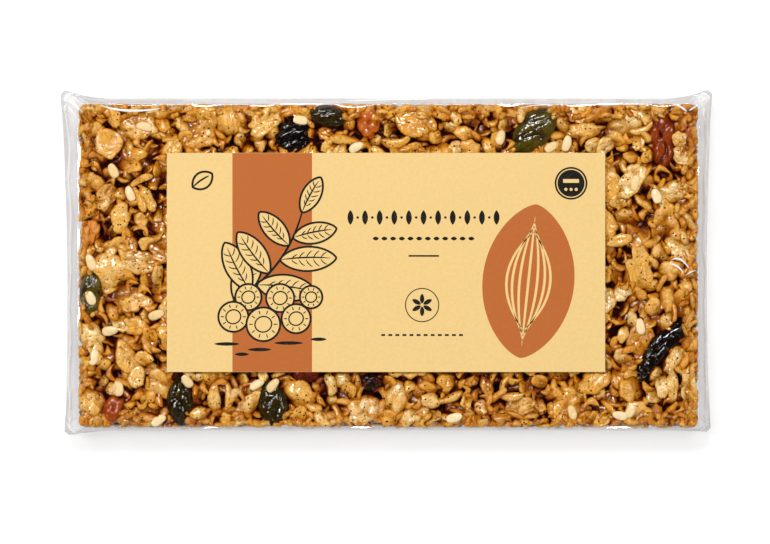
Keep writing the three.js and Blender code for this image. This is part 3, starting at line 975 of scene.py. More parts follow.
def printed_ink(name, colour):
    """Offset ink on uncoated stock: flat and matt, a little broken by the paper's fibres.

    The eye gets an even field with a faint mottle and no shine.
    """
    material, tree = new_material(name)
    inputs = {"Value": fibre_mottle(tree), "From Min": 0.5, "From Max": 0.9, "To Max": 0.06}
    thin = add_node(tree, "ShaderNodeMapRange", inputs).outputs[0]
    inputs = {0: thin, 6: linear(colour), 7: linear("#d9b97a")}
    base = add_node(tree, "ShaderNodeMix", inputs, data_type="RGBA").outputs[2]
    inputs = {"Base Color": base, "Roughness": 0.75, "Specular IOR Level": 0.25}
    finish_material(tree, add_node(tree, "ShaderNodeBsdfPrincipled", inputs).outputs["BSDF"])
    return material


def studio_floor(colour):
    """Opal acrylic light table.

    The eye gets matt white with a weak glow of its own, which thins the shadows.
    """
    material, tree = new_material("opal_acrylic_table")
    inputs = {
        "Base Color": linear(colour),
        "Roughness": 0.9,
        "Specular IOR Level": 0.2,
        "Emission Color": linear("#ffffff"),
        "Emission Strength": 0.62,
    }
    finish_material(tree, add_node(tree, "ShaderNodeBsdfPrincipled", inputs).outputs["BSDF"])
    return material


# ---- The film -----------------------------------------------------------------------------------


def fold_outline(step):
    """The film's fold line, anticlockwise from above, and each point's distance from an ear.

    A long side is straight and rises to its ears as the square of the nearness. An end bows in
    between its ears by a parabola.
    """
    corners = [np.array(EARS[k]) for k in ("bottom_left", "bottom_right", "top_right", "top_left")]
    edges = (LONG_EDGES_Y[1], None, LONG_EDGES_Y[0], None)
    points, nearness = [], []
    for start, end, edge in zip(corners, corners[1:] + corners[:1], edges):
        length = np.abs(end - start).max()
        along = np.linspace(EAR_BLUNT, length - EAR_BLUNT, round(length / step))
        near = np.minimum(along, length - along)
        line = start + (end - start) * (along / length)[:, None]
        if edge is None:
            share = (along - EAR_BLUNT) / (length - 2 * EAR_BLUNT)
            line[:, 0] -= np.sign(start[0]) * END_BOW * 4 * share * (1 - share)
        else:
            rise = np.clip(1 - (near - EAR_BLUNT) / (FLARE - EAR_BLUNT), 0, 1) ** 2
            ear = np.where(along < length / 2, start[1], end[1])
            line[:, 1] = edge + (ear - edge) * rise
        points.append(line)
        nearness.append(near)
    return np.concatenate(points), np.concatenate(nearness)


def bar_outline(outward, bar, inset):
    """The points of the bar's rounded rectangle, drawn in by insets, that face outward ones.

    A point is clamped to the rectangle of the corners' middles and moved out by the radius.
    """
    half = np.array([bar.length, bar.width]) / 2 - bar.corner
    offset = outward - np.array(bar.offset)
    clamped = np.clip(offset, -half, half)
    away = offset - clamped
    away /= np.linalg.norm(away, axis=1, keepdims=True)
    inset = np.broadcast_to(inset, len(outward))[:, None]
    clamped = clamped * (half - np.maximum(inset - bar.corner, 0)) / half
    return np.array(bar.offset) + clamped + away * np.maximum(bar.corner - inset, 0)


def ridge(distance, width):
    """A crease's section: 1 on its line, falling away on both sides over a width."""
    return np.exp(-((np.abs(distance) / width) ** 1.3))


def crease_highlight_ribbon(film, width, start, middle, end, count=48):
    """A sharp crease as a narrow tent on the film, and each of its points' painted highlight.

    It follows a quadratic curve seen from above, in millimetres. Its height is the mean of the
    film points near it, weighed by exp(-(distance / 0.5) ** 2). It narrows to nothing at both
    ends, and its ridge stands 0.08 mm over its two sides.
    """
    share = np.linspace(0, 1, count)[:, None]
    path = (1 - share) ** 2 * start + 2 * share * (1 - share) * middle + share**2 * end
    along = np.gradient(path, axis=0)
    along /= np.linalg.norm(along, axis=1, keepdims=True)
    half = np.sin(np.pi * share) ** 0.5 * np.stack([-along[:, 1], along[:, 0]], -1) * width / 2
    gaps = np.linalg.norm(film[:, None, :2] - path[None] * MM, axis=2) / (0.5 * MM)
    weights = np.exp(-(gaps**2)) + 1e-9
    height = (weights * film[:, 2:]).sum(0) / weights.sum(0)
    sides = [
        np.c_[(path + half * side) * MM, height + rise * MM]
        for side, rise in ((1, 0.0), (0, 0.08), (-1, 0.0))
    ]
    here = np.arange(count - 1)[:, None] + count * np.arange(2)
    quads = np.stack([here, here + count, here + count + 1, here + 1], -1).reshape(-1, 4)
    return np.concatenate(sides), quads, np.repeat([0.5, 1.0, 0.5], count)


def film_rings(bar, top, fold, rng):
    """The film's rings from under the bar's middle to over it, and the level of each.

    Under the bar and over it a ring is the bar's outline drawn in by an inset, and its rounded
    edges are quarter circles. Between them a ring goes from the bar's edge towards the fold by
    1 - (1 - s) ** 1.5 for its share s of the height. The level is -1 below, 0 at the fold, 1 at
    the upper edge, which wanders along the pack, and 2 on the face.
    """
    deepest = bar.width / 2 - FILM_CENTRE
    bend = np.linspace(0, np.pi / 2, 7)
    insets = [deepest, *(inset * MM for inset in UNDER_INSETS)]
    rings = [(bar_outline(fold, bar, inset), FILM_FLOOR, -1.0) for inset in insets]
    for angle in bend:
        outline = bar_outline(fold, bar, EDGE_ROUND * (1 - np.sin(angle)))
        rings.append((outline, FILM_FLOOR + EDGE_ROUND * (1 - np.cos(angle)), -1.0))
    edge = bar_outline(fold, bar, 0.0)
    shoulder_foot = top - 0.9 * EDGE_ROUND
    lower = np.linspace(EDGE_ROUND + FILM_FLOOR, FOLD_Z, 15)[1:]
    upper = np.linspace(FOLD_Z, shoulder_foot, 27)[1:]
    for height in np.concatenate([lower, upper]):
        end = EDGE_ROUND if height <= FOLD_Z else shoulder_foot
        share = abs(height - end) / abs(FOLD_Z - end)
        reach = 1 - (1 - share) ** 1.5
        outline = edge + reach * (fold - edge)
        rings.append((outline, height, (1 - share) * np.sign(height - FOLD_Z)))
    sway = waves(rng, np.c_[fold, np.zeros(len(fold))], EDGE_WAVES, 4)
    shoulder = EDGE_ROUND * np.clip(0.35 + 0.45 * sway, 0.12, 0.9)
    for angle in bend[::-1][1:]:
        outline = bar_outline(fold, bar, shoulder * (1 - np.sin(angle)))
        rings.append((outline, top - shoulder * (1 - np.cos(angle)), 1.0))
    first = shoulder + 0.05 * MM
    for inset in (first, *(np.array(TOP_INSETS) * MM), deepest):
        rings.append((bar_outline(fold, bar, inset), top, 2.0))
    points = [np.c_[outline, np.broadcast_to(z, len(fold))] for outline, z, _ in rings]
    return np.array(points), np.array([level for _, _, level in rings])[:, None]


def crinkled(points, levels, fold, near, depth, rng):
    """The film's rings pushed out along their normals, and each point's painted highlight.

    On the sides stand creases that fan out from each ear, |sin| of the angle seen from the ear
    times exp(-distance / 7 mm), one long crease in a wandering lane at both ends, a slow sway and
    a faint crinkle.
    """
    along = np.roll(points, -1, 1) - np.roll(points, 1, 1)
    normals = np.cross(along, np.gradient(points, axis=0))
    normals /= np.maximum(np.linalg.norm(normals, axis=2, keepdims=True), 1e-12)
    side = np.abs(levels)
    on_side = np.where(side < 1, np.sin(np.pi * np.minimum(side, 1)), 0) ** 0.7
    at_end = np.abs(fold[:, 0]) > FILM_ENDS_X
    across = fold[:, 1]
    lane = 0.55 + 0.05 * np.sin(across / (9 * MM)) + 0.02 * np.sin(across / (3.1 * MM))
    long_crease = ridge(side - lane, 0.12) * at_end
    fan = np.arctan2(side * 8.0, near + 0.5)
    fans = np.exp(-near / 7.0) * np.abs(np.sin(6.5 * fan + 0.6 * np.sin(near)))
    flat = points.reshape(-1, 3)
    sway = waves(rng, flat * [1, 1, 0.5], SWAY_WAVES, 4).reshape(points.shape[:2])
    crinkle = waves(rng, flat * [1, 1, 1.5], CRINKLE_WAVES).reshape(points.shape[:2])
    relief = on_side * (0.5 * long_crease + 0.9 * fans + 0.3 * sway + 0.015 * crinkle)
    # Painted highlight: a thin white line on the long crease at the ends, fainter under the fold.
    line = ridge(side - lane, 0.05) * at_end * (side < 1)
    white = line * np.where(levels > 0, 1, 0.4)
    return points + normals * (depth * relief)[..., None], white


class GRANOLA_OT_film(bpy.types.Operator):
    """Builds the clear film with its fold, its four ears and its creases"""

    bl_idname = "granola.film"
    bl_label = "Clear film"

    def execute(self, context):
        bar, film = context.scene.granola_bar, context.scene.granola_film
        rng = np.random.default_rng(FILM_SEED)
        fold, near = fold_outline(FOLD_STEP)
        fold = fold * MM
        points, levels = film_rings(bar, film.top, fold, rng)
        rings, columns = points.shape[:2]
        points, white = crinkled(points, levels, fold, near, film.crinkle, rng)

        # The face is a little slack, but not near the middle line, where it is drawn tight.
        face = levels[:, 0] >= 2
        top = points[face]
        slack = 1 - np.exp(-(((top[..., 1] - bar.offset[1]) / TIGHT_LINE) ** 2))
        ripple = waves(rng, top.reshape(-1, 3), SLACK_WAVES).reshape(slack.shape)
        top[..., 2] += SLACK_DEPTH * slack * ripple
        points[face] = top

        upper_side = points[levels[:, 0] > 0].reshape(-1, 3)
        ribbons = [crease_highlight_ribbon(upper_side, *map(np.array, crease)) for crease in FILM_CREASE_HIGHLIGHTS]
        ends = np.array([[*bar.offset, FILM_FLOOR]]), np.array([[*bar.offset, film.top]])
        points = np.concatenate([ends[0], points.reshape(-1, 3), ends[1]])
        lowest = [PACK_LOW.x, PACK_LOW.y, FILM_CLEARANCE]
        highest = [PACK_HIGH.x, PACK_HIGH.y, LABEL_LOW.z - FILM_CLEARANCE]
        points = np.clip(points, lowest, highest)
        quads, triangles = closed_grid(rings, columns)
        # The crease attribute carries the painted white highlight.
        values = {"crease": np.concatenate([[0], np.clip(white, 0, 1).ravel(), [0]])}
        material = clear_film(film.tint)
        add_piece("film", points, quads, triangles, material, "granola", values)

        # The crease ribbons, white with their painted highlight.
        shape = joined([(points, quads, NO_TRIANGLES) for points, quads, _ in ribbons])
        values = {"crease": np.concatenate([white for _, _, white in ribbons])}
        add_piece("film_creases", *shape, material, "granola", values)
        return {"FINISHED"}


# ---- The label ----------------------------------------------------------------------------------


def rectangle_outline(length, width, each=24):
    """Points round a rectangle about the origin, anticlockwise, as many on each side."""
    share = np.arange(each) / each
    corners = np.array([[-1, -1], [1, -1], [1, 1], [-1, 1]]) * [length / 2, width / 2]
    sides = [a + (b - a) * share[:, None] for a, b in zip(corners, np.roll(corners, -1, 0))]
    return np.concatenate(sides)


def oval(middle, length, width, turn=0.0, point=0.0, count=40):
    """An oval's outline. Its ends are drawn out to points as sin(angle) is raised to 1 + point."""
    angle = np.arange(count) / count * 2 * np.pi
    x = np.cos(angle) * length / 2
    y = np.sign(np.sin(angle)) * np.abs(np.sin(angle)) ** (1 + point) * width / 2
    cos, sin = np.cos(np.radians(turn)), np.sin(np.radians(turn))
    return np.array(middle) + np.stack([x * cos - y * sin, x * sin + y * cos], -1)


def filled(outline, height):
    """A flat patch: a fan of triangles from the middle of an outline."""
    count = len(outline)
    points = np.vstack([outline.mean(0), outline])
    rim = np.arange(count)
    triangles = np.stack([0 * rim, 1 + rim, 1 + (rim + 1) % count], -1)
    return np.c_[points, np.full(len(points), height)], NO_QUADS, triangles


def stroke(path, width, height, closed=False, taper=0.0):
    """A drawn line: a ribbon of two points for each point of the path, half a width to each side.

    taper thins its two ends, to nothing at 1.
    """
    path = np.asarray(path, float)
    count = len(path)
    if closed:
        along = np.roll(path, -1, 0) - np.roll(path, 1, 0)
    else:
        along = np.gradient(path, axis=0)
    along /= np.maximum(np.linalg.norm(along, axis=1, keepdims=True), 1e-9)
    side = np.stack([-along[:, 1], along[:, 0]], -1)
    share = np.linspace(-1, 1, count)[:, None]
    half = width / 2 * (1 - taper * np.abs(share) ** 3)
    points = np.concatenate([path + side * half, path - side * half])
    here = np.arange(count if closed else count - 1)
    after = (here + 1) % count
    quads = np.stack([count + here, count + after, after, here], -1)
    return np.c_[points, np.full(2 * count, height)], quads, NO_TRIANGLES


def direction(degrees):
    """The unit vector that a turn in degrees from +X points to."""
    return np.array([np.cos(np.radians(degrees)), np.sin(np.radians(degrees))])


def bowed(start, end, bow, count=16):
    """A line from start to end, moved sideways at its middle by a parabola."""
    start, end = np.array(start, float), np.array(end, float)
    share = np.linspace(0, 1, count)[:, None]
    side = np.array([start[1] - end[1], end[0] - start[0]])
    return start + (end - start) * share + side * bow * 4 * share * (1 - share)


def joined(shapes):
    """Several (points, quads, triangles) as one."""
    points, quads, triangles, total = [], [], [], 0
    for shape_points, shape_quads, shape_triangles in shapes:
        points.append(shape_points)
        quads.append(shape_quads + total)
        triangles.append(shape_triangles + total)
        total += len(shape_points)
    return np.concatenate(points), np.concatenate(quads), np.concatenate(triangles)


class Ink:
    """Shapes in one ink, in millimetres from the label's middle. Each shape has its own layer."""

    def __init__(self):
        self.shapes = []

    def fill(self, outline, layer):
        """Fills an outline."""
        self.shapes.append(filled(outline, layer))

    def line(self, path, width, layer, closed=False, taper=0.0):
        """Draws a line along a path."""
        self.shapes.append(stroke(path, width, layer, closed, taper))


def draw_leaf(cream, black, base, tip, width, layer):
    """A pointed leaf with a midrib and side veins, filled so that it hides what is under it."""
    along = tip - base
    length = np.linalg.norm(along)
    outline = oval((base + tip) / 2, length, width, np.degrees(np.arctan2(*along[::-1])), 0.45)
    cream.fill(outline, layer)
    black.line(outline, OUTLINE, layer + 0.5, closed=True)
    black.line(bowed(base, base + along * 0.9, 0.03), MIDRIB, layer + 0.5, taper=0.8)
    side = np.array([base[1] - tip[1], tip[0] - base[0]]) / length
    for share in np.arange(0.2, 0.8, 0.13):
        root = base + along * share
        reach = width * 0.34 * np.sin(np.pi * share)
        for sign in (-1, 1):
            vein = root + along * 0.12 + sign * side * reach
            black.line(bowed(root, vein, 0.1 * sign), VEIN, layer + 0.5, taper=0.9)


def draw_seed(cream, black, middle, size, layer):
    """A round slice: a circle with a smaller one inside and short strokes between them."""
    middle = np.array(middle)
    outer = oval(middle, size, size)
    cream.fill(outer, layer)
    black.line(outer, OUTLINE, layer + 0.5, closed=True)
    black.line(oval(middle, size * 0.5, size * 0.46, 20), 0.3, layer + 0.5, closed=True)
    for turn in range(0, 360, 36):
        ends = middle + direction(turn) * size * 0.31, middle + direction(turn) * size * 0.42
        black.line(np.linspace(*ends, 4), HAIRLINE, layer + 0.5)


def draw_sprig(cream, black):
    """A sprig of leaves over loose round slices, with flat dabs of shade on the ground."""
    stem = bowed((-34.0, -9.0), (-17.5, 12.6), -0.12)
    black.line(stem, 0.5, PALE, taper=0.6)
    for layer, (share, turn, length, width) in enumerate(SPRIG_LEAVES):
        base = stem[round(share * (len(stem) - 1))]
        draw_leaf(cream, black, base, base + direction(turn) * length, width, LEAF + layer)
    for layer, (x, y, size) in enumerate(SPRIG_ROUNDS):
        draw_seed(cream, black, (x, y), size, ROUND + layer)
    for x, y, length in SHADE_DABS:
        black.fill(oval((x, y), length, 0.75, 0, point=0.3), MARK)


def draw_rows(black):
    """Rows of plain ornaments, a short rule under them and a row of dashes."""
    for first, last, count, y, length, width, turn, point in ORNAMENT_ROWS:
        for x in np.linspace(first, last, count):
            black.fill(oval((x, y), length, width, turn, point), MARK)
    black.line(np.linspace(*RULE, 4), 0.36, MARK)
    first, last, count, y, half = DASHES
    for x in np.linspace(first, last, count):
        black.line(np.linspace((x - half, y), (x + half, y), 3), 0.42, MARK)


def draw_rosette(black):
    """A thin ring round a rosette of six petals."""
    middle = np.array([7.7, -9.1])
    black.line(oval(middle, 7.1, 7.1), HAIRLINE, MARK, closed=True)
    for turn in range(30, 390, 60):
        black.fill(oval(middle + direction(turn) * 1.35, 2.1, 0.95, turn, point=0.5), MARK)


def draw_medallion(cream, black):
    """A dark disc with a pale ring, a bar and three dots."""
    middle = np.array([39.5, 16.9])
    black.fill(oval(middle, 7.0, 7.0), MARK)
    cream.line(oval(middle, 6.0, 6.0), HAIRLINE, PALE, closed=True)
    cream.line(np.linspace(middle + [-1.7, 0.5], middle + [1.7, 0.5], 3), 0.8, PALE)
    for x in (-1.1, 0, 1.1):
        cream.fill(oval(middle + [x, -1.3], 0.66, 0.66), PALE)


def draw_kernel(rust, cream):
    """A large upright almond in rust with pale grooves along it."""
    middle, turn, length, width = np.array([30.4, -4.0]), 84, 33.0, 19.6
    rust.fill(oval(middle, length, width, turn, point=0.35, count=90), FIELD)
    way = direction(turn) * length / 2
    for bow in np.linspace(-0.22, 0.22, 7):
        reach = 0.84 - 0.9 * abs(bow)
        groove = bowed(middle - way * reach, middle + way * reach, bow, 30)
        cream.line(groove, 0.55, MARK, taper=0.9)


def draw_bud(black):
    """A small open leaf in a corner."""
    outline = oval((-39.2, 17.5), 5.0, 3.5, 35, point=0.5)
    black.line(outline, 0.46, MARK, closed=True)
    black.line(bowed((-41.2, 16.1), (-37.8, 18.5), 0.05), 0.4, MARK, taper=0.6)


class GRANOLA_OT_label(bpy.types.Operator):
    """Builds the paper label and the flat print on it"""

    bl_idname = "granola.label"
    bl_label = "Paper label"

    def execute(self, context):
        settings = context.scene.granola_label
        low, high = np.array(LABEL_LOW), np.array(LABEL_HIGH)
        middle = (low + high) / 2
        outline = rectangle_outline(high[0] - low[0], high[1] - low[1])

        # Its rings go out under it and back in on top, each a share of the outline at a height.
        paper_top = high[2] - PRINT_ROOM
        levels = (
            (0.5, low[2]),
            (0.97, low[2]),
            (1.0, low[2] + PAPER_BEVEL),
            (1.0, paper_top - PAPER_BEVEL),
            (0.9985, paper_top),
            (0.9, paper_top),
            (0.5, paper_top),
        )
        flat = middle[:2]
        rings = [
            np.c_[flat + outline * share, np.full(len(outline), z)] for share, z in levels
        ]
        points = np.concatenate([[[*flat, low[2]]], *rings, [[*flat, paper_top]]])
        faces = closed_grid(len(levels), len(outline))
        material = kraft_paper(settings.paper)
        paper = add_piece("label_sheet", points, *faces, material, "label_paper", flat=True)
        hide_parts("label")

        rust, cream, black = Ink(), Ink(), Ink()
        band = rectangle_outline(BAND_WIDTH, (high[1] - low[1]) / MM - 0.1)
        rust.fill(band + [BAND_X, 0], FIELD)
        draw_kernel(rust, cream)
        draw_sprig(cream, black)
        draw_rows(black)
        draw_rosette(black)
        draw_medallion(cream, black)
        draw_bud(black)
        for name, ink, stock, colour in (
            ("print_rust", rust, "rust_offset_ink", settings.rust),
            ("print_cream", cream, "cream_unprinted_stock", settings.paper),
            ("print_dark", black, "dark_offset_ink", settings.black),
        ):
            points, *faces = joined(ink.shapes)
            layers = points[:, 2:] * settings.ink_step
            points = np.c_[flat + points[:, :2] * MM, paper_top + layers]
            material = printed_ink(stock, colour)
            add_piece(name, points, *faces, material, "label_paper", flat=True)
        return {"FINISHED"}


# ---- The bar ------------------------------------------------------------------------------------


class GRANOLA_OT_core(bpy.types.Operator):
    """Builds the caramel block that the flakes are stuck in, dark with painted shade"""

    bl_idname = "granola.core"
    bl_label = "Caramel core"

    def execute(self, context):
        # A ball's points are pushed out to a block, and lumps of two sizes are laid on it.
        bar = context.scene.granola_bar
        rings, columns = CORE_GRID
        polar = np.linspace(0, np.pi, rings + 2)[:, None]
        azimuth = np.arange(columns) / columns * 2 * np.pi
        x, y = np.sin(polar) * np.cos(azimuth), np.sin(polar) * np.sin(azimuth)
        ball = closed_points(np.stack([x, y, -np.cos(polar) + 0 * x], -1))
        half = np.array([bar.length, bar.width, bar.top]) / 2 - CORE_INSET
        cube = ball / np.abs(ball).max(1, keepdims=True)
        points = np.array([*bar.offset, bar.top / 2]) + cube * half
        rng = np.random.default_rng(bar.seed)
        large, small = (waves(rng, points, spacing, 8) for spacing in LUMP_SPACINGS)
        lumps = large + 0.6 * small
        points = points + ball * (CORE_LUMPS * lumps)[:, None]
        # Its depth of 2.5 mm all over sinks it in painted shade: near black, as the deep gaps.
        stops = [(0.0, "#2a0f03"), (0.5, "#3c1805"), (1.0, "#5a2808")]
        material = syrup_glazed("set_caramel_in_gap_shade", stops, speckle=0.2)
        plain = np.ones(len(points))
        values = {"tone": 0.5 * plain, "depth": 2.5 * plain, "raised": plain, "across": 0 * plain}
        faces = closed_grid(rings, columns)
        core = add_piece("caramel_core", points, *faces, material, "granola", values)
        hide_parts("clear_pack")
        return {"FINISHED"}


# The kinds of loose piece: shape, sizes, finish, how far a piece tilts in radians, and its rings
# and columns on the face and elsewhere.
KINDS = {
    "oat_flakes": (flake_shapes, JUMBO_FLAKE, "oat", 0.15, (12, 30), (6, 14)),
    "broken_oats": (flake_shapes, BROKEN_FLAKE, "oat", 0.38, (7, 14), (5, 10)),
    "oat_splinters": (grain_shapes, SPLINTER, "oat", 0.3, (9, 8), (6, 6)),
    "rice_crisps": (bent_crisp_shapes, CRISP, "crisp", 0.4, (6, 8), (4, 6)),
}


def cover(bar, charts, group, finishes):
    """Fills each face from the bottom up with ever higher layers of mixed kinds."""
    rng = np.random.default_rng(bar.seed + len(group))
    on_face = group == "face"
    allowed = (lambda spot: not hidden_by_label(spot, LABEL_COVER)) if on_face else None
    grids = {kind: row[4] if on_face else row[5] for kind, row in KINDS.items()}
    batches = {kind: [] for kind in KINDS}
    tones = {kind: [] for kind in KINDS}
    for chart in charts:
        size = chart["size"]
        area = size.prod() / MM**2
        fixed = topping_circles() + whole_flake_circles() if on_face else []
        taken = {"deep": [], "middle": [], "top": fixed}
        for layer, kind, radius, overlap, depth, tries in LAYERS:
            tries = int(area * tries)
            spots = throw(rng, taken[layer], size, radius * MM, tries, allowed, overlap)
            shape, limits, _, tilt = KINDS[kind][:4]
            shapes = shape(rng, random_sizes(rng, limits, len(spots)), *grids[kind])
            depths = rng.uniform(*depth, len(spots)) * MM
            batches[kind].append(lay(rng, shapes, spots, depths, chart, tilt))
            tones[kind].append(rng.uniform(0, 1, len(spots)))
    for kind, row in KINDS.items():
        name, material = kind + "_" + group, finishes[row[2]]
        scatter_piece(name, bar, batches[kind], tones[kind], grids[kind], material)


def place_whole_flakes(bar, chart, material):
    """Sets down the flakes and splinters that have places of their own, just under the film."""
    rng = np.random.default_rng(bar.seed + 20)
    for name, shape, places, thickness, grid in (
        ("whole_oats", flake_shapes, WHOLE_FLAKES, 1.6, (18, 40)),
        ("long_splinters", grain_shapes, LONG_SPLINTERS, 1.5, (14, 14)),
    ):
        x, y, length, width, turn, tone = np.array(places).T
        sizes = length * MM, width * MM, np.full(len(x), thickness * MM)
        spots = np.c_[x, y] * MM - np.array(bar.offset)
        depths = rng.uniform(0.1, 0.6, len(x)) * MM
        shapes = shape(rng, sizes, *grid)
        laid = lay(rng, shapes, spots, depths, chart, 0.08, np.radians(turn))
        scatter_piece(name, bar, [laid], [tone], grid, material)


def sow_sesame(bar, chart):
    """Lays the sesame seeds on top of everything: hulled, so matt, pale and a little syrupy."""
    rng = np.random.default_rng(bar.seed + 40)
    x, y, turn = np.array(SESAME_PLACES).T
    count, grid = len(x), (12, 16)
    sizes = [size * MM * rng.uniform(0.92, 1.06, count) for size in SESAME_SIZE]
    shapes = grain_shapes(rng, sizes, *grid, bend=0.08, knobs=0.0, taper=0.1)
    spots = np.c_[x, y] * MM - np.array(bar.offset)
    depths = np.full(count, -SESAME_RISE)
    laid = lay(rng, shapes, spots, depths, chart, 0.06, np.radians(turn))
    laid[..., 3] = 1.0
    hulled = syrup_glazed(
        "hulled_sesame",
        [(0.0, "#e2bd7c"), (0.5, "#ecd09c"), (1.0, "#f2deb6")],
        syrup=0.35,
        speckle=0.0,
        wrinkle=(2.5, 0.03),
        fibre=0.0,
        coat=0.4,
    )
    scatter_piece("sesame_seeds", bar, [laid], [rng.uniform(0, 1, count)], grid, hulled)


class GRANOLA_OT_grains(bpy.types.Operator):
    """Scatters oat flakes, splinters and rice crisps over the bar's six faces"""

    bl_idname = "granola.grains"
    bl_label = "Flakes and grains"

    def execute(self, context):
        bar = context.scene.granola_bar
        charts = bar_charts(bar)
        oat = [(0.0, "#e8a038"), (0.35, "#f0b24a"), (0.65, "#f5c268"), (1.0, "#fae0aa")]
        crisp = [(0.0, "#e4982a"), (0.4, "#eeaa3c"), (0.75, "#f4bc56"), (1.0, "#f9d284")]
        finishes = {
            "oat": syrup_glazed("toasted_oat_flake", oat, least=0.03, speckle=0.8),
            "crisp": syrup_glazed(
                "puffed_rice_crisp", crisp, least=0.05, speckle=0.35, wrinkle=(1.3, 0.08)
            ),
        }
        for group, names in GROUPS.items():
            cover(bar, [charts[name] for name in names], group, finishes)
        place_whole_flakes(bar, charts["face"], finishes["oat"])
        sow_sesame(bar, charts["face"])
        return {"FINISHED"}


def hidden_by_label(spot, inside):
    """Whether a place on the face, from the bar's middle, lies well under the label."""
    bar = bpy.context.scene.granola_bar
    half = np.array([LABEL_HIGH.x - LABEL_LOW.x, LABEL_HIGH.y - LABEL_LOW.y]) / 2 - inside
    middle = np.array([LABEL_HIGH.x + LABEL_LOW.x, LABEL_HIGH.y + LABEL_LOW.y]) / 2
    return bool(np.all(np.abs(spot + np.array(bar.offset) - middle) < half))


def circles_along(x, y, length, width, turn, share_of_width):
    """A long piece's place on the face as a row of circles, in metres from the bar's middle."""
    bar = bpy.context.scene.granola_bar
    middle = np.array([x, y]) * MM - np.array(bar.offset)
    radius = share_of_width * width * MM
    way = direction(turn)
    shares = np.linspace(-0.5, 0.5, 5)
    return [(*(middle + way * share * (length - width) * MM), radius) for share in shares]


def topping_circles():
    """The places that the toppings take up on the face."""
    circles = []
    for name, (length, width, turn, _) in TOPPINGS.items():
        low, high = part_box(name)
        middle = (low + high) / 2 / MM
        circles += circles_along(middle.x, middle.y, length, width, turn, 0.56)
    return circles


def whole_flake_circles():
    """The places that flakes and splinters with places of their own take up on the face."""
    circles = []
    for x, y, length, width, turn, _ in WHOLE_FLAKES + LONG_SPLINTERS:
        circles += circles_along(x, y, length, width, turn, 0.42)
    return circles


# ---- The toppings -------------------------------------------------------------------------------


def topping_shape(rng, kind, length, width, height):
    """One topping about the origin with its length along X, as x, y, z and how raised a point is.

    All start as the same flattened ball: a ring's radius is sin(polar angle) ** 0.8 and its height
    the cosine of the polar angle. A pumpkin seed is drawn to a point at one end, has a sunk rim
    and is crumpled: (1 - |sin|) ** 2 along wandering lines is cut into its top. A cherry or a date
    is creased by ridges |sin| along wandering lines, and a date has a dimple. A pecan has a groove
    along it and ribs across, and is lobed.
    """
    rings, columns = TOPPING_GRID
    polar = np.linspace(0, np.pi, rings + 2)[:, None]
    azimuth = np.arange(columns) / columns * 2 * np.pi
    radius = np.sin(polar) ** 0.8
    u, v = radius * np.cos(azimuth), radius * np.sin(azimuth)
    w = -np.cos(polar) + 0 * u
    phase = rng.uniform(0, 2 * np.pi, 8)
    if kind == "pumpkin_seed":
        taper = 1 - 0.28 * np.clip(u, 0, 1) ** 2 - 0.06 * np.clip(-u, 0, 1) ** 2
        wander = 1 + 0.03 * np.cos(3 * azimuth + phase[0])
        x, y = u * wander, v * taper * wander
        swell = 1 - 0.16 * np.exp(-(((radius - 0.9) / 0.09) ** 2)) * (w > 0)
        dents = 0.05 * np.sin(5 * u + phase[1]) * np.sin(4 * v + phase[2])
        line = np.sin(3.4 * u + 1.6 * np.sin(2.6 * v + phase[3]) + phase[4])
        cross_line = np.sin(4.6 * v + 2.3 * u + phase[5])
        creases = 0.13 * (1 - np.abs(line)) ** 2
        creases = creases + 0.09 * (1 - np.abs(cross_line)) ** 2
        z = np.sign(w) * np.abs(w) ** 0.8 * swell + dents - creases * (w > 0)
        raised = 0.8 + 3 * dents - 4 * creases
    elif kind == "pecan":
        lobes = 0.17 * np.abs(np.sin(4.2 * u + 1.8 * np.sin(2.4 * v + phase[0]) + phase[1]))
        lobes = lobes + 0.08 * np.abs(np.sin(8.0 * u + 3.9 * v + phase[2]))
        groove = np.exp(-np.abs(v - 0.3 * np.sin(2.6 * u + phase[3])) / 0.1)
        groove = groove * np.cos(1.2 * u) ** 2
        x = u * (1 + 0.05 * np.cos(3 * azimuth + phase[4]))
        y = v * (1 + 0.1 * np.sin(4 * u + phase[5]))
        z = w * (0.82 + 1.9 * lobes - 0.4 * groove)
        raised = 0.1 + 3.8 * lobes - 0.6 * groove
    else:
        dimple = -0.3 * np.exp(-(u**2 + v**2) / 0.05) * (w > 0)
        relief = dimple if kind == "date" else 0 * u
        for index, (rate, share) in enumerate(((3.0, 0.14), (5.0, 0.08), (8.5, 0.03))):
            way = u * np.cos(phase[index]) + v * np.sin(phase[index]) + 0.5 * w
            bend = 0.7 * np.sin(rate * 0.7 * (u - v) + phase[index + 3])
            relief = relief + share * (np.abs(np.sin(rate * way + bend)) - 0.64)
        x, y, z = (axis * (1 + relief) for axis in (u, v, np.sign(w) * np.abs(w) ** 0.8))
        raised = 0.7 + 2.4 * relief
    return closed_points(np.stack([x * length / 2, y * width / 2, z * height / 2, raised], -1))


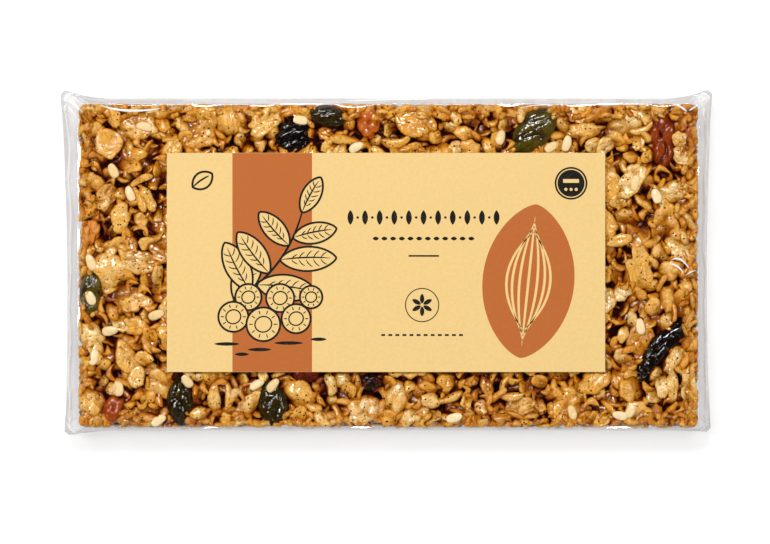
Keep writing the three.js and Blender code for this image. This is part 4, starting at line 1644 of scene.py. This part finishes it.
class GRANOLA_OT_toppings(bpy.types.Operator):
    """Builds the pumpkin seeds, sour cherries, dates and pecans, one by one"""

    bl_idname = "granola.toppings"
    bl_label = "Toppings"

    def execute(self, context):
        finishes = topping_finishes()
        faces = closed_grid(*TOPPING_GRID)
        sesame = np.array(SESAME_PLACES)[:, :2] * MM
        dent_radius, dent_depth = SESAME_DENT
        for number, (name, (length, width, turn, shade)) in enumerate(TOPPINGS.items()):
            kind = name.rsplit("_", 1)[0]
            rng = np.random.default_rng(FIRST_TOPPING_SEED + number)
            low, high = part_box(name)
            shape = topping_shape(rng, kind, length * MM, width * MM, high.z - low.z)
            if name == "date_1":
                from_middle = shape[:, 0] / (length * MM / 2)
                shape[:, 1] += DATE_STRIP_BOW * (1 - 2 * from_middle**2) / 2
            turns = turned(np.radians([turn]), np.zeros(1), np.zeros(1))[0]
            points = shape[:, :3] @ turns.T + np.array((low + high) / 2)
            gaps = np.linalg.norm(points[:, None, :2] - sesame[None], axis=2).min(1)
            ceiling = high.z - dent_depth * np.exp(-((gaps / dent_radius) ** 4))
            points[:, 2] = np.minimum(points[:, 2], ceiling)
            # Depth under the top darkens a topping's lower part with painted shade.
            values = {
                "tone": np.full(len(points), shade),
                "depth": np.maximum(high.z - points[:, 2] - TOPPING_CLEAR, 0) / MM,
                "raised": shape[:, 3],
                "across": shape[:, 1] / MM,
            }
            finish, slot = finishes.get(name) or finishes[kind]
            piece = add_piece(name + "_whole", points, *faces, finish, slot, values)
            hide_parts(name)
        return {"FINISHED"}


def topping_finishes():
    """The material and the slot name of each kind of topping, or of one by its own name.

    A row holds the kind, the slot, the material's name, its colours from dark to pale, how thick
    syrup lies on it and the least of it, husk specks, wrinkles and scatter.
    """
    rows = (
        # Roasted green seed skin: dark olive, crumpled, with many small glints.
        ("pumpkin_seed", "pumpkin_seed", "glazed_pumpkin_seed",
         [(0.0, "#120900"), (0.5, "#302300"), (1.0, "#7a6616")], 0.5, 0.0, 0.2, (0.9, 0.12), 0.05),
        # Dried sour cherry: near black, and red where the skin stands up as painted light; shiny.
        ("cherry", "dark_fruit", "dried_sour_cherry",
         [(0.0, "#020000"), (0.5, "#080202"), (1.0, "#7c1e08")], 0.5, 0.0, 0.0, (1.0, 0.12), 0.05),
        # Chopped date flesh: amber and a little clear.
        ("date", "date", "amber_date_flesh",
         [(0.0, "#943004"), (0.5, "#c86410"), (1.0, "#f8b050")], 1.0, 0.04, 0.3, (1.4, 0.07), 0.3),
        # A strip of date with its skin out: black brown, with long soft folds.
        ("date_1", "date", "dark_date_skin",
         [(0.0, "#080201"), (0.6, "#140804"), (1.0, "#2a150b")], 0.5, 0.0, 0.0, (2.6, 0.12), 0.05),
        # Toasted pecan: red brown skin under thick syrup.
        ("pecan", "pecan", "toasted_pecan_kernel",
         [(0.0, "#842a06"), (0.5, "#ae4c0c"), (1.0, "#d88230")], 1.3, 0.1, 0.2, (1.0, 0.1), 0.35),
    )
    return {
        kind: (syrup_glazed(name, stops, syrup, least, speckle, wrinkle, 0.0, 1.0, scatter), slot)
        for kind, slot, name, stops, syrup, least, speckle, wrinkle, scatter in rows
    }


# ---- The painted shade in the nooks -------------------------------------------------------------


def mean_surface(u, v, heights, size):
    """The smoothed upper surface of a crowd of points over one face, sampled at each point.

    Points fall in cells of NOOK_CELL, with two spare cells round the face, and a cell is as high
    as its highest point or that of a neighbour. Weights of a quarter, a half and a quarter, passed
    along both ways eight times, then smooth it, and each point takes the height of its own cell.
    """
    cells = np.ceil(np.array(size) / NOOK_CELL).astype(int) + 5
    column = np.clip((u + size[0] / 2) / NOOK_CELL + 2, 0, cells[0] - 1).astype(int)
    row = np.clip((v + size[1] / 2) / NOOK_CELL + 2, 0, cells[1] - 1).astype(int)
    surface = np.full(cells, -NOOK_FLOOR)
    np.maximum.at(surface, (column, row), heights)
    for axis in (0, 1):
        surface = np.max([np.roll(surface, step, axis) for step in (-1, 0, 1)], axis=0)
    for _ in range(8):
        for axis in (0, 1):
            before, after = (np.roll(surface, step, axis) for step in (-1, 1))
            surface = (before + 2 * surface + after) / 4
    return surface[column, row]


class GRANOLA_OT_nook_shade(bpy.types.Operator):
    """Marks how far each point of the food lies under what is round it, for its painted shade"""

    bl_idname = "granola.syrup"
    # This step paints shade into the nooks and onto the flanks.
    bl_label = "Pooled syrup"

    def execute(self, context):
        charts = bar_charts(context.scene.granola_bar)
        meshes = [piece.data for piece in bpy.data.objects if piece.type == "MESH"]
        meshes = [mesh for mesh in meshes if "raised" in mesh.attributes]
        meshes = [mesh for mesh in meshes if "nook" not in mesh.attributes]
        counts = [len(mesh.vertices) for mesh in meshes]
        ends = np.cumsum(counts)
        points, normals = np.zeros((2, sum(counts), 3), np.float32)
        for mesh, end, count in zip(meshes, ends, counts):
            part = np.zeros(count * 3, np.float32)
            mesh.vertices.foreach_get("co", part)
            points[end - count : end] = part.reshape(-1, 3)
            mesh.vertex_normals.foreach_get("vector", part)
            normals[end - count : end] = part.reshape(-1, 3)

        # A point belongs to the face over which it stands highest.
        highest = np.full(len(points), -np.inf)
        nooks = np.zeros(len(points))
        for chart in charts.values():
            u, v, height = ((points - chart["middle"]) @ chart["turn"].T).T
            near = height > -NOOK_FLOOR
            # How far a point lies under the smoothed surface round it: the painted shade in the
            # nooks.
            under = mean_surface(u[near], v[near], height[near], chart["size"]) - height[near]
            # Painted shade on the flanks: the less a point faces out, the further under it counts.
            facing = np.clip(normals[near] @ chart["turn"][2], 0, 1)
            under = under + SHADE_ON_FLANKS * (1 - facing)
            better = height[near] > highest[near]
            index = np.flatnonzero(near)[better]
            nooks[index] = under[better]
            highest[index] = height[index]
        nooks[highest == -np.inf] = NOOK_FLOOR
        for mesh, end, count in zip(meshes, ends, counts):
            layer = mesh.attributes.new("nook", "FLOAT", "POINT")
            layer.data.foreach_set("value", (nooks[end - count : end] / MM).astype(np.float32))
        return {"FINISHED"}


# ---- The studio ---------------------------------------------------------------------------------


class GRANOLA_OT_stage(bpy.types.Operator):
    """Sets the floor, the lamps, the surroundings and the camera"""

    bl_idname = "granola.stage"
    bl_label = "Floor, lamps and camera"

    def execute(self, context):
        studio, scene = context.scene.granola_studio, context.scene
        link = scene.collection.objects.link
        corners = np.array([[-1, -1, 0], [1, -1, 0], [1, 1, 0], [-1, 1, 0]]) * FLOOR_REACH
        mesh = bpy.data.meshes.new("floor")
        mesh.from_pydata((corners - [0, 0, FLOOR_GAP]).tolist(), [], [(0, 1, 2, 3)])
        mesh.materials.append(studio_floor(studio.floor))
        floor = bpy.data.objects.new("floor", mesh)
        link(floor)

        for name, (place, width, height, power, glossy) in LAMPS.items():
            data = bpy.data.lights.new(name, "AREA")
            data.shape = "RECTANGLE"
            data.size, data.size_y = width, height
            data.energy = power * studio.power
            light = bpy.data.objects.new(name, data)
            light.location = place
            light.rotation_mode = "QUATERNION"
            light.rotation_quaternion = (-Vector(place)).to_track_quat("-Z", "Y")
            light.visible_glossy = glossy
            link(light)

        # The camera sees a pale grey, the bar gets a weak light from all round, and film and
        # syrup mirror next to nothing but the lamps.
        world = bpy.data.worlds.new("studio")
        world.use_nodes = True
        tree = world.node_tree
        tree.nodes.clear()
        seen, around, mirrored = (
            add_node(
                tree, "ShaderNodeBackground", {"Color": linear(colour), "Strength": strength}
            ).outputs[0]
            for colour, strength in (("#f2f2f2", 1.0), ("#ffffff", 0.1), ("#ffffff", 0.02))
        )
        path = add_node(tree, "ShaderNodeLightPath").outputs
        inputs = {"Fac": path["Is Glossy Ray"], 1: around, 2: mirrored}
        unseen = add_node(tree, "ShaderNodeMixShader", inputs).outputs[0]
        inputs = {"Fac": path["Is Camera Ray"], 1: unseen, 2: seen}
        mix = add_node(tree, "ShaderNodeMixShader", inputs).outputs[0]
        add_node(tree, "ShaderNodeOutputWorld", {"Surface": mix})
        scene.world = world
        scene.view_settings.view_transform = "Standard"

        data = bpy.data.cameras.new("camera")
        data.sensor_width = SENSOR
        data.lens = studio.lens
        data.clip_end = 20.0
        camera = bpy.data.objects.new("camera", data)
        distance = studio.frame_width * studio.lens / SENSOR
        camera.location = (*CAMERA_ASIDE, FOLD_Z + distance)
        link(camera)
        scene.camera = camera
        return {"FINISHED"}


class GRANOLA_PT_steps(bpy.types.Panel):
    """Lists the steps that build the bar and its settings"""

    bl_idname = "GRANOLA_PT_steps"
    bl_label = "Granola bar"
    bl_space_type = "VIEW_3D"
    bl_region_type = "UI"
    bl_category = "Granola bar"

    def draw(self, context):
        """A button for each step, and a box for each group of settings."""
        for step in STEPS:
            self.layout.operator(step.bl_idname)
        for settings in ("granola_bar", "granola_film", "granola_label", "granola_studio"):
            box = self.layout.box()
            group = getattr(context.scene, settings)
            for name in group.bl_rna.properties.keys():
                if name not in ("rna_type", "name"):
                    box.prop(group, name)


STEPS = (
    GRANOLA_OT_core,
    GRANOLA_OT_grains,
    GRANOLA_OT_toppings,
    GRANOLA_OT_nook_shade,
    GRANOLA_OT_film,
    GRANOLA_OT_label,
    GRANOLA_OT_stage,
)

CLASSES = (
    BarSettings,
    FilmSettings,
    LabelSettings,
    StudioSettings,
    *STEPS,
    GRANOLA_PT_steps,
)


def register():
    """Registers the classes and gives the scene their settings."""
    for cls in CLASSES:
        bpy.utils.register_class(cls)
    bpy.types.Scene.granola_bar = PointerProperty(type=BarSettings)
    bpy.types.Scene.granola_film = PointerProperty(type=FilmSettings)
    bpy.types.Scene.granola_label = PointerProperty(type=LabelSettings)
    bpy.types.Scene.granola_studio = PointerProperty(type=StudioSettings)


def unregister():
    """Takes the settings and the classes away again."""
    del bpy.types.Scene.granola_studio
    del bpy.types.Scene.granola_label
    del bpy.types.Scene.granola_film
    del bpy.types.Scene.granola_bar
    for cls in reversed(CLASSES):
        bpy.utils.unregister_class(cls)


def main():
    """Builds every piece in order."""
    register()
    bpy.ops.granola.core()
    bpy.ops.granola.grains()
    bpy.ops.granola.toppings()
    # Painted shade in the nooks and on the flanks.
    bpy.ops.granola.syrup()
    bpy.ops.granola.film()
    bpy.ops.granola.label()
    bpy.ops.granola.stage()


if __name__ == "__main__":
    main()
